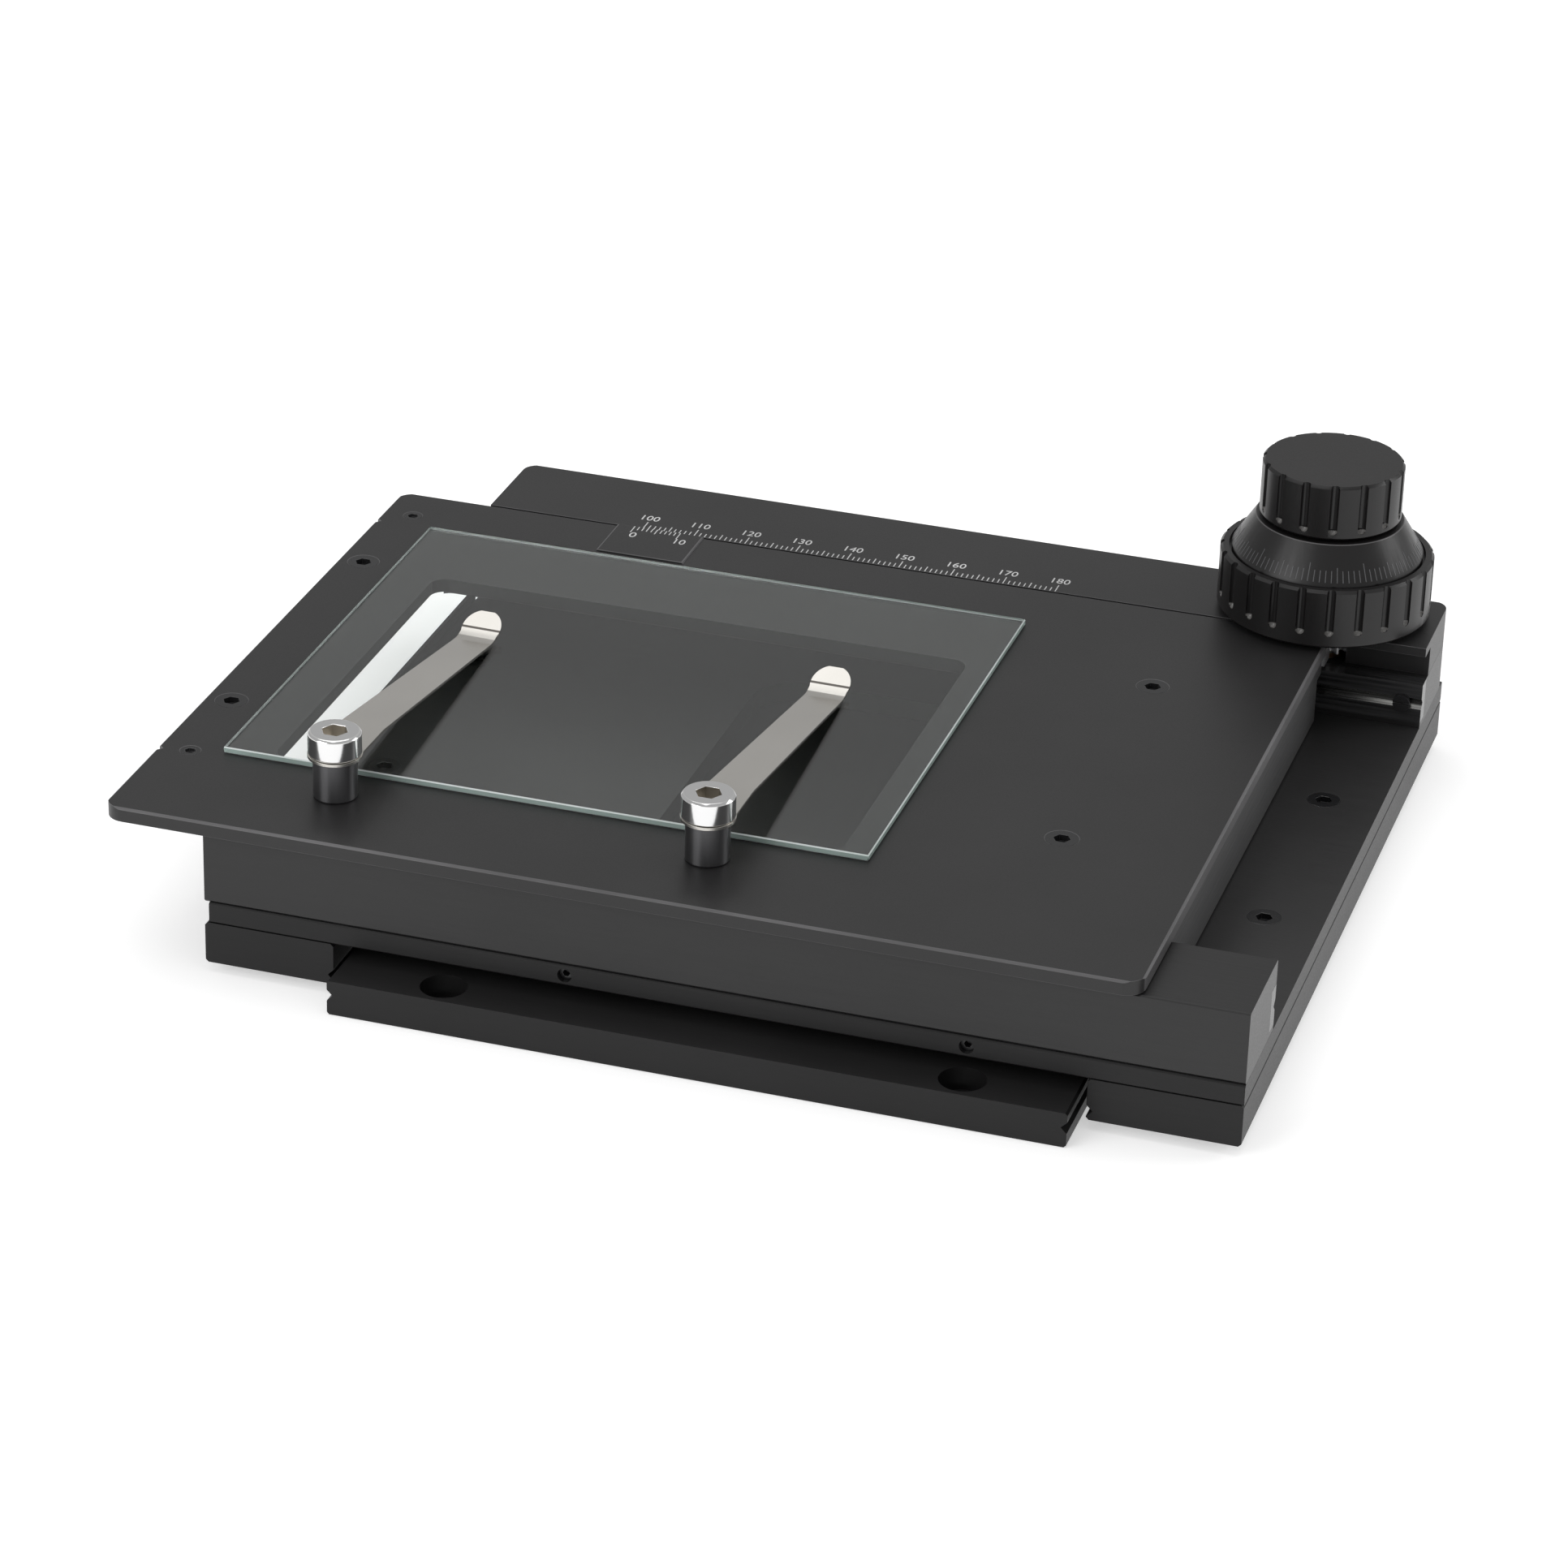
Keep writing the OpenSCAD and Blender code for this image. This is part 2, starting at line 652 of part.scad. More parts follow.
module end_plate_screws() {
    color(steel) for (y = end_plate_ys)
        translate([car_left, y, car_z + car_t / 2]) rotate([0, 90, 0]) difference() {
        union() {
            translate([0, 0, -1]) cylinder(d = side_head_d, h = 1);
            translate([0, 0, -cut / 2]) cylinder(d = small_d, h = end_plate_thread + cut / 2);
        }
        translate([0, 0, -1 - cut]) cylinder(d = 1.5, h = cut + 0.7, $fn = 6);
    }
}

module rail_holes() {
    for (x = rail_screw_xs, y = rail_screw_ys) translate([x, y, floor_z])
        flat_hole(screw_d, screw_head_d, car_t + rail_thread);
}

module rail_screws() {
    color(steel) for (x = rail_screw_xs, y = rail_screw_ys) translate([x, y, floor_z])
        flat_screw(screw_d, screw_head_d, car_t + rail_thread);
}

module edge_grub_screws() {
    color(steel) for (x = edge_grub_xs)
        translate([x, car_front + 1, car_z + car_t / 2]) rotate([-90, 0, 0]) difference() {
            cylinder(d = edge_grub_d - 2 * screw_play, h = edge_grub_l);
            translate([0, 0, -cut]) cylinder(d = 1.3, h = cut + 1.4, $fn = 6);
        }
}

module side_rail_left() {
    color(black_metal) difference() {
        bar_y(car_front, car_back, chamfered(car_left, -rail_in, rail_lift, car_z, bar_chamfer));
        bar_y(car_front - cut, car_back + cut, v_points(-rail_in, -1, y_guide_z));
        rail_holes();
    }
}

module side_rail_right() {
    color(black_metal) difference() {
        bar_y(car_front, car_back, chamfered(rail_in, car_right, rail_lift, car_z, bar_chamfer));
        bar_y(car_front - cut, car_back + cut, v_points(rail_in, 1, y_guide_z));
        rail_holes();
        translate([knob_x, knob_y, y_pinion_z - 0.4])
            cylinder(r = y_pitch_r + addendum + tip_play, h = car_z);
    }
}

// ---------- upper fixed guides ----------

module front_bar() {
    c = bar_chamfer;
    color(black_metal) difference() {
        bar_x(car_left, car_right, [[car_front + c, floor_z], [bar_back, floor_z], [bar_back, strip_z],
            [bar_back - strip_w, strip_z], [bar_back - strip_w, riser_top], [bar_back, riser_top],
            [bar_back, bar_top - c / 2], [bar_back - c / 2, bar_top], [car_front + c / 2, bar_top],
            [car_front, bar_top - c / 2], [car_front, floor_z + c]]);
        for (x = bar_screw_xs) translate([x, bar_screw_y, car_z]) mirror([0, 0, 1])
            flat_hole(screw_d, screw_head_d, car_t + bar_thread);
        for (x = end_screw_xs) translate([x, bar_back, x_guide_z]) end_hole();
    }
}

// hole for an end screw, drilled towards -Y
module end_hole() {
    rotate([90, 0, 0]) cylinder(d = small_d + 2 * screw_play, h = strip_w + 3.2);
}

// round-headed end screw, its head standing on the guide face towards +Y
module end_screw() {
    rotate([90, 0, 0]) cylinder(d = small_d, h = strip_w + 3);
    difference() {
        rotate([-90, 0, 0]) cylinder(d = end_head_d, h = end_head_h);
        translate([-end_head_d, end_head_h - 0.4, -0.2]) cube([2 * end_head_d, cut, 0.4]);
    }
}

module strip_end_screws() {
    color(steel) for (x = end_screw_xs) {
        translate([x, bar_back, x_guide_z]) end_screw();
        translate([x, rear_face, x_guide_z]) rotate([0, 0, 180]) end_screw();
    }
}

// hardened strip with a V groove; face is the guide face, way points into the strip
module guide_strip(x0, x1, face, way) {
    color(steel) difference() {
        box([x0, min(face, face + way * strip_w), strip_z], [x1, max(face, face + way * strip_w), riser_top]);
        bar_x(x0 - cut, x1 + cut, v_points(face, way, x_guide_z));
        children();
    }
}

module front_guide_strip() {
    guide_strip(car_left, car_right, bar_back, -1)
        for (x = end_screw_xs) translate([x, bar_back + cut, x_guide_z]) end_hole();
}

module rear_guide_strip() {
    guide_strip(car_left, car_right, rear_face, 1)
        for (x = end_screw_xs) translate([x, rear_face - cut, x_guide_z]) rotate([0, 0, 180]) end_hole();
}

module front_bar_screws() {
    color(steel) for (x = bar_screw_xs) translate([x, bar_screw_y, car_z]) mirror([0, 0, 1])
        flat_screw(screw_d, screw_head_d, car_t + bar_thread);
}

module rear_riser() {
    c = bar_chamfer;
    color(black_metal) difference() {
        intersection() {
            bar_x(car_left, car_right, [[rear_face, floor_z], [car_back - c, floor_z], [car_back, floor_z + c],
                [car_back, riser_top - c], [car_back - c, riser_top], [rear_face + strip_w, riser_top],
                [rear_face + strip_w, strip_z], [rear_face, strip_z]]);
            rear_outline(floor_z - cut, riser_top + cut);
        }
        for (x = rear_screw_xs) translate([x, rear_screw_y, car_z]) mirror([0, 0, 1])
            flat_hole(screw_d, screw_head_d, car_t + riser_h + rear_thread);
        for (x = end_screw_xs) translate([x, rear_face, x_guide_z]) rotate([0, 0, 180]) end_hole();
        translate([knob_x, knob_y, floor_z - cut]) cylinder(d = shaft_bush_d, h = riser_h + 2 * cut);
        translate([knob_x, knob_y, sleeve_z - 0.2]) cylinder(d = lower_bush_d, h = riser_h);
    }
}

// upright space with the two rounded rear corners of the rear guide
module rear_outline(z0, z1) {
    front = rear_face - 2 * block_r - cut;
    round_block([car_left, front, z0], car_w, car_back - front, z1 - z0, block_r);
}

module scale_block() {
    color(black_metal) difference() {
        intersection() {
            bar_x(car_left, car_right, [[recess_back, riser_top], [car_back, riser_top],
                [car_back, block_top - 0.3], [car_back - 0.3, block_top], [lip_front, block_top],
                [lip_front, block_top - lip_t], [recess_back, block_top - lip_t]]);
            rear_outline(riser_top - cut, block_top + cut);
        }
        for (x = rear_screw_xs) translate([x, rear_screw_y, car_z]) mirror([0, 0, 1])
            flat_hole(screw_d, screw_head_d, car_t + riser_h + rear_thread);
        translate([knob_x, knob_y, riser_top - cut]) cylinder(r = pocket_r, h = block_top);
    }
}

module rear_block_screws() {
    color(steel) for (x = rear_screw_xs) translate([x, rear_screw_y, car_z]) mirror([0, 0, 1])
        flat_screw(screw_d, screw_head_d, car_t + riser_h + rear_thread);
}

// ---------- bearings of the coaxial drive ----------

module upper_bush() {
    color(bronze) translate([knob_x, knob_y, 0]) difference() {
        union() {
            translate([0, 0, bush_z]) cylinder(r = pocket_r, h = block_top - bush_z);
            translate([0, 0, block_top]) cylinder(d = bush_flange_d, h = bush_flange_h);
        }
        translate([0, 0, bush_z - cut]) cylinder(d = sleeve_d + 2 * run_fit, h = block_top);
    }
}

module sleeve_bush() {
    color(bronze) translate([knob_x, knob_y, sleeve_z - 0.2]) difference() {
        cylinder(d = lower_bush_d, h = lower_bush_h + 0.2);
        translate([0, 0, -cut]) cylinder(d = sleeve_d + 2 * run_fit, h = lower_bush_h + 2 * cut + 0.2);
    }
}

module shaft_bush() {
    color(bronze) translate([knob_x, knob_y, car_z]) difference() {
        cylinder(d = shaft_bush_d, h = sleeve_z - 0.2 - car_z);
        translate([0, 0, -cut]) cylinder(d = shaft_d + 2 * run_fit, h = riser_h + car_t);
    }
}

module thrust_washer() {
    color(black_plastic) translate([knob_x, knob_y, block_top + bush_flange_h]) difference() {
        cylinder(d = washer_d, h = washer_h);
        translate([0, 0, -cut]) cylinder(d = sleeve_d + 0.6, h = washer_h + 2 * cut);
    }
}

// ---------- upper ball guides ----------

module x_cage(y) {
    color(bronze) difference() {
        translate([x_cage_mid, y, x_guide_z]) cube([x_cage_l, cage_t, cage_h], center = true);
        for (i = [0 : x_balls - 1])
            translate([x_cage_mid + (i - (x_balls - 1) / 2) * x_cage_pitch, y, x_guide_z])
                rotate([90, 0, 0]) cylinder(d = ball_d + 0.1, h = 2 * cage_t, center = true);
    }
}

module x_ball_row(y) {
    color(steel) balls(x_balls, x_cage_pitch, [x_cage_mid, y, x_guide_z], [1, 0, 0], ball_d);
}

// ---------- slide ----------

module slide_frame() {
    color(black_metal) difference() {
        bar_x(slide_left, slide_right, [[slide_front + strip_w, frame_z], [slide_back - strip_w, frame_z],
            [slide_back - strip_w, riser_top], [slide_back, riser_top], [slide_back, plate_z],
            [slide_front, plate_z], [slide_front, riser_top], [slide_front + strip_w, riser_top]]);
        round_block([slide_left + frame_left_w, inner_front, frame_z - cut],
            slide_right - slide_left - frame_left_w - frame_right_w, inner_back - inner_front,
            plate_z - frame_z + 2 * cut, 3);
        // the left member runs over the carriage's end plate
        box([slide_left - cut, inner_front, frame_z - cut],
            [slide_left + frame_left_w + cut, inner_back, end_top + frame_lift]);
        plate_holes();
        for (x = x_rack_screw_xs) translate([x, inner_back, x_rack_z + x_rack_h / 2])
            rotate([-90, 0, 0]) translate([0, 0, -cut])
                cylinder(d = small_d + 2 * screw_play, h = slide_back - inner_back + 2 * cut);
    }
}

module slide_strip_front() {
    guide_strip(slide_left, slide_right, slide_front, 1)
        translate([x_pin_x, slide_front + strip_w / 2, strip_z - cut])
            cylinder(d = spigot_d + 2 * screw_play, h = 2 + cut);
}

module slide_strip_rear() {
    guide_strip(slide_left, slide_right, slide_back, -1);
}

module x_stop_pin() {
    color(steel) translate([x_pin_x, slide_front + strip_w / 2, 0]) {
        translate([0, 0, floor_z - pin_sink + 0.3]) cylinder(d = pin_d, h = strip_z - floor_z + pin_sink - 0.3);
        translate([0, 0, strip_z]) cylinder(d = spigot_d, h = 2);
    }
}

module x_rack() {
    color(steel) difference() {
        translate([knob_x, x_rack_line, x_rack_z]) linear_extrude(x_rack_h)
            polygon(rack_points(x_rack_x0 - knob_x, x_rack_x1 - knob_x, rack_back));
        for (x = x_rack_screw_xs) translate([x, slide_back - cut, x_rack_z + x_rack_h / 2])
            rotate([-90, 0, 0]) cylinder(d = small_d + 2 * screw_play, h = rack_back - 0.5 + cut);
    }
}

module x_rack_screws() {
    color(steel) for (x = x_rack_screw_xs) translate([x, inner_back, x_rack_z + x_rack_h / 2])
        rotate([-90, 0, 0]) {
            cylinder(d = small_d, h = strip_w + frame_rear_w + rack_back - 1);
            difference() {
                translate([0, 0, -side_head_h]) cylinder(d = side_head_d, h = side_head_h);
                translate([0, 0, -side_head_h - cut]) cylinder(d = 1.5, h = cut + 0.8, $fn = 6);
            }
        }
}

// ---------- top plate and what it carries ----------

module plate_holes() {
    for (x = [0, plate_screw_dx], y = [0, plate_screw_dy])
        translate([plate_left + plate_screw_x + x, plate_front + plate_screw_y + y, plate_top])
            flat_hole(screw_d, screw_head_d, plate_t + plate_thread);
    for (y = corner_screw_ys) translate([corner_screw_x, y, plate_top])
        flat_hole(small_d, small_head_d, plate_t + corner_thread);
}

module top_plate() {
    c = plate_chamfer;
    color(black_metal) difference() {
        intersection() {
            round_block([plate_left, plate_front, plate_z], plate_w, plate_l, plate_t, plate_r);
            bar_x(plate_left, plate_right, [[plate_front, plate_z], [plate_back, plate_z],
                [plate_back, plate_top - c], [plate_back - c, plate_top], [plate_front + c, plate_top],
                [plate_front, plate_top - c]]);
            bar_y(plate_front, plate_back, [[plate_left, plate_z], [plate_right, plate_z],
                [plate_right, plate_top - c], [plate_right - c, plate_top], [plate_left + c, plate_top],
                [plate_left, plate_top - c]]);
        }
        round_block([open_left, open_front, plate_z - cut], open_w, open_l, plate_t + 2 * cut, open_r);
        plate_holes();
        for (x = [clip_left_x, clip_right_x]) translate([x, clip_post_y, plate_z - cut])
            cylinder(d = clip_screw_d + 2 * screw_play, h = plate_t + 2 * cut);
        box([vernier_left - screw_play, plate_back - vernier_l - screw_play, plate_top - vernier_sink],
            [vernier_left + vernier_w + screw_play, plate_back + cut, plate_top + cut]);
        for (y = notch_ys) translate([plate_left, y, plate_z - cut])
            rotate([0, 0, 45]) translate([-notch_d, -notch_d, 0])
                cube([2 * notch_d, 2 * notch_d, plate_t + 2 * cut]);
    }
}

module plate_screws() {
    color(black_metal) for (x = [0, plate_screw_dx], y = [0, plate_screw_dy])
        translate([plate_left + plate_screw_x + x, plate_front + plate_screw_y + y, plate_top])
            flat_screw(screw_d, screw_head_d, plate_t + plate_thread);
}

module corner_screws() {
    color(black_metal) for (y = corner_screw_ys) translate([corner_screw_x, y, plate_top])
        flat_screw(small_d, small_head_d, plate_t + corner_thread);
}

module vernier_plate() {
    z = plate_top - vernier_sink;
    c = 0.25;
    color(black_metal) bar_y(plate_back - vernier_l, plate_back, [[vernier_left, z],
        [vernier_left + vernier_w, z], [vernier_left + vernier_w, z + vernier_t - c],
        [vernier_left + vernier_w - c, z + vernier_t], [vernier_left + c, z + vernier_t],
        [vernier_left, z + vernier_t - c]]);
}

module glass_plate() {
    color(glass_tint) box([glass_left, glass_front, plate_top],
        [glass_left + glass_w, glass_front + glass_l, glass_top]);
}

module clip_post(x) {
    color(black_metal) translate([x, clip_post_y, plate_top]) difference() {
        cylinder(d = post_d, h = post_h);
        translate([0, 0, -cut]) cylinder(d = clip_screw_d + 2 * screw_play, h = post_h + 2 * cut);
    }
}

module clip_screw(x) {
    c = 0.4;
    color(chrome) translate([x, clip_post_y, 0]) difference() {
        union() {
            translate([0, 0, head_z]) rotate_extrude() polygon([[0, 0], [clip_head_d / 2 - c / 2, 0],
                [clip_head_d / 2, c / 2], [clip_head_d / 2, clip_head_h - c],
                [clip_head_d / 2 - c, clip_head_h], [0, clip_head_h]]);
            translate([0, 0, plate_z + 0.2]) cylinder(d = clip_screw_d, h = head_z - plate_z);
        }
        translate([0, 0, head_z + clip_head_h * 0.4]) cylinder(d = clip_hex / cos(30), h = clip_head_h, $fn = 6);
    }
}

// side view of a blade from its post: flat, slope to the glass, turned-up tip
function blade_side() = let (slope = atan(blade_drop / (blade_l - blade_flat_l)), t = blade_t,
    fold = (tip_angle - slope) / 2, reach = t / cos((tip_angle + slope) / 2),
    end = [blade_l + tip_l * cos(tip_angle), tip_l * sin(tip_angle) - blade_drop])
    [[-blade_w, 0], [blade_flat_l, 0], [blade_l, -blade_drop], end,
        end + t * [-sin(tip_angle), cos(tip_angle)],
        [blade_l, -blade_drop] + reach * [-sin(fold), cos(fold)],
        [blade_flat_l + t * tan(slope / 2), t], [-blade_w, t]];

// spring blade, its outline from above cut out of its side view
module clip_blade(x, turn) {
    half = blade_w / 2;
    tip_half = blade_tip_w / 2;
    tip_y = blade_l + tip_l * cos(tip_angle) - tip_d / 2;
    color(steel) translate([x, clip_post_y, blade_z]) rotate([0, 0, turn]) difference() {
        intersection() {
            bar_x(-blade_w, blade_w, blade_side());
            translate([0, 0, -blade_drop - cut]) linear_extrude(blade_drop + tip_l + 2 * cut) union() {
                circle(r = half + 0.5);
                polygon([[-half, 0], [half, 0], [tip_half, blade_l], [tip_half, tip_y], [-tip_half, tip_y],
                    [-tip_half, blade_l]]);
                translate([0, tip_y]) circle(d = tip_d);
            }
        }
        translate([0, 0, -cut]) cylinder(d = clip_screw_d + 2 * run_fit, h = blade_t + 2 * cut);
    }
}

// ---------- coaxial knobs ----------

// vertical flutes round a knob, closed at the lower end
module flutes(count, r, z0, z1, phase) {
    for (i = [0 : count - 1]) rotate([0, 0, phase + i * 360 / count])
        translate([r + flute_w / 2 - flute_depth, 0, z0]) cylinder(d = flute_w, h = z1 - z0);
}

module grub_hole(z, r) {
    rotate([0, 0, grub_turn]) translate([0, 0, z]) rotate([0, 90, 0]) cylinder(d = grub_d, h = r + cut);
}

module grub_screw(z, r) {
    rotate([0, 0, grub_turn]) translate([r, 0, z]) rotate([0, 90, 0]) difference() {
        cylinder(d = grub_d - 2 * screw_play, h = grub_l);
        translate([0, 0, grub_l - 1.5]) cylinder(d = 1.7, h = 1.5 + cut, $fn = 6);
    }
}

module x_knob_ring() {
    r = ring_d / 2;
    c = knob_chamfer;
    seat_r = cone_d / 2 + ring_groove_w;
    color(black_plastic) translate([knob_x, knob_y, 0]) difference() {
        rotate_extrude() polygon([[sleeve_d / 2 + screw_play, ring_z], [r - c, ring_z], [r, ring_z + c],
            [r, ring_top - c], [r - c, ring_top], [seat_r, ring_top], [seat_r, ring_top - cone_sink],
            [sleeve_d / 2 + screw_play, ring_top - cone_sink]]);
        flutes(ring_flutes, r, ring_z + flute_stop, ring_top + cut, ring_phase);
        grub_hole(ring_z + ring_h / 2, r);
    }
}

module x_dial_cone() {
    color(black_plastic) translate([knob_x, knob_y, 0]) rotate_extrude()
        polygon([[sleeve_d / 2 + screw_play, ring_top - cone_sink], [cone_d / 2, ring_top - cone_sink],
            [cone_d / 2, ring_top + 0.4], [cone_top_d / 2, cone_top], [sleeve_d / 2 + screw_play, cone_top]]);
}

module x_sleeve() {
    color(steel) translate([knob_x, knob_y, sleeve_z]) difference() {
        cylinder(d = sleeve_d, h = sleeve_top - sleeve_z);
        translate([0, 0, -cut]) cylinder(d = shaft_d + 2 * run_fit, h = sleeve_top - sleeve_z + 2 * cut);
    }
}

module x_pinion() {
    color(bronze) translate([knob_x, knob_y, x_pinion_z]) rotate([0, 0, -90]) difference() {
        linear_extrude(x_pinion_h) polygon(pinion_points(x_teeth));
        translate([0, 0, -cut]) cylinder(d = sleeve_d + 2 * screw_play, h = x_pinion_h + 2 * cut);
    }
}

module x_knob_grub() {
    color(steel) translate([knob_x, knob_y, 0]) grub_screw(ring_z + ring_h / 2, sleeve_d / 2 + screw_play);
}

module y_knob_cap() {
    r = cap_d / 2;
    c = knob_chamfer;
    color(black_plastic) translate([knob_x, knob_y, 0]) difference() {
        rotate_extrude() polygon([[0, shaft_top], [shaft_d / 2 + screw_play, shaft_top],
            [shaft_d / 2 + screw_play, cap_z], [r - c, cap_z], [r, cap_z + c],
            [r, cap_top - c], [r - c, cap_top],
            [0, cap_top]]);
        flutes(cap_flutes, r, cap_z + flute_stop * 0.6, cap_top + cut, cap_phase);
        grub_hole(cap_z + cap_h / 2 - 0.6, r);
    }
}

module y_shaft() {
    color(steel) translate([knob_x, knob_y, shaft_z]) cylinder(d = shaft_d, h = shaft_top - shaft_z);
}

module y_pinion() {
    color(bronze) translate([knob_x, knob_y, y_pinion_z]) rotate([0, 0, 180]) difference() {
        linear_extrude(y_pinion_h) polygon(pinion_points(y_teeth));
        translate([0, 0, -cut]) cylinder(d = shaft_d + 2 * screw_play, h = y_pinion_h + 2 * cut);
    }
}

module y_knob_grub() {
    color(steel) translate([knob_x, knob_y, 0]) grub_screw(cap_z + cap_h / 2 - 0.6, shaft_d / 2 + screw_play);
}

base_plate();
y_rack();
y_rack_screws();
y_stop_pin();
y_cage(-1);  // y_cage_left
y_ball_row(-1);  // y_balls_left
y_cage(1);  // y_cage_right
y_ball_row(1);  // y_balls_right
carriage_plate();
channel_end_plate();
end_plate_screws();
side_rail_left();
side_rail_right();
rail_screws();
edge_grub_screws();
front_bar();
front_guide_strip();
front_bar_screws();
rear_riser();
rear_guide_strip();
scale_block();
rear_block_screws();
strip_end_screws();
upper_bush();
sleeve_bush();
shaft_bush();
thrust_washer();
x_cage(bar_back + guide_gap / 2);  // x_cage_front
x_ball_row(bar_back + guide_gap / 2);  // x_balls_front
x_cage(rear_face - guide_gap / 2);  // x_cage_rear
x_ball_row(rear_face - guide_gap / 2);  // x_balls_rear
slide_frame();
slide_strip_front();
slide_strip_rear();
x_stop_pin();
x_rack();
x_rack_screws();
top_plate();
plate_screws();
corner_screws();
vernier_plate();
glass_plate();
clip_post(clip_left_x);  // clip_post_left
clip_post(clip_right_x);  // clip_post_right
clip_screw(clip_left_x);  // clip_screw_left
clip_screw(clip_right_x);  // clip_screw_right
clip_blade(clip_left_x, clip_turn_left);  // clip_blade_left
clip_blade(clip_right_x, clip_turn_right);  // clip_blade_right
x_knob_ring();
x_dial_cone();
x_sleeve();
x_pinion();
x_knob_grub();
y_knob_cap();
y_shaft();
y_pinion();
y_knob_grub();
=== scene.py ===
"""Looks of a mechanical microscope stage with a moving top plate, spring clips and coaxial drive knobs.

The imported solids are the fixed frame. Machined pieces are copied, welded and get eased edges; the scale,
the vernier, the dial and their numerals are new pieces. All lengths are in metres unless a name ends in _mm.
"""

import json
import logging
import math
from collections.abc import Callable
from dataclasses import dataclass, field
from enum import Enum

import bpy
from mathutils import Matrix, Vector

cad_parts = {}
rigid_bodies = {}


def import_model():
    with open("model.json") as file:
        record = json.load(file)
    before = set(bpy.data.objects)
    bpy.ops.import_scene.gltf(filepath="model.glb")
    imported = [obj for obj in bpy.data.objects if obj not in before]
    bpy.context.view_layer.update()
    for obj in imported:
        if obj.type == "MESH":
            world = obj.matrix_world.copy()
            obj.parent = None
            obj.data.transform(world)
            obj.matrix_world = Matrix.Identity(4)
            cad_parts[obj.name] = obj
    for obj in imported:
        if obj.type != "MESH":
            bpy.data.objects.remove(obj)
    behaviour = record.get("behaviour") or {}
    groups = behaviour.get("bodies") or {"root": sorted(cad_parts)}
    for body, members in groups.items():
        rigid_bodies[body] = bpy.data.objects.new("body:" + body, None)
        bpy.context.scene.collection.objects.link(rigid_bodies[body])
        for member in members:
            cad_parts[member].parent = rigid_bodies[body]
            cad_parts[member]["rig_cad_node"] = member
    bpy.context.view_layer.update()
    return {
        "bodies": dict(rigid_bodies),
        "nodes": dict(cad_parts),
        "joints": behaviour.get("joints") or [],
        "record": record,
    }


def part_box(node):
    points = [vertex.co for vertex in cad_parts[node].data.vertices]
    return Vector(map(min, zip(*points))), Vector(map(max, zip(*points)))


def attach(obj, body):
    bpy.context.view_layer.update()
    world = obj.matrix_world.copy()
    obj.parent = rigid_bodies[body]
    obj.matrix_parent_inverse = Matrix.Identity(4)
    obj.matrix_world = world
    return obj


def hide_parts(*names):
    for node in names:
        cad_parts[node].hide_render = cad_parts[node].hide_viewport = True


LOG = logging.getLogger("stage")
MM = 0.001
KNOB_AXIS = Vector((0.06985, 0.076075, 0.0))
CLOUDS_PER_M = 45.0
STREAKS_PER_M = 1500.0
CLOUD_OCTAVES = 4.0
GRAIN_OCTAVES = 3.0
TONE_SPAN = (0.3, 0.7)
GLOSS_SPAN = (0.25, 0.75)
BUMP_SHARE = 0.2
WELD_M = 2e-6
FLAT_DEGREES = 0.4
SHARP_DEGREES = 35.0
FACING = 0.9


class Axis(Enum):
    """The direction in which a finish was ground, rolled or brushed."""

    NONE = (1.0, 1.0, 1.0)
    ALONG_X = (0.03, 1.0, 1.0)
    ALONG_Y = (1.0, 0.03, 1.0)


class Rank(Enum):
    """How much a division of a scale stands out, by the number that its value is divided by."""

    MINOR = 1
    MIDDLE = 5
    MAJOR = 10


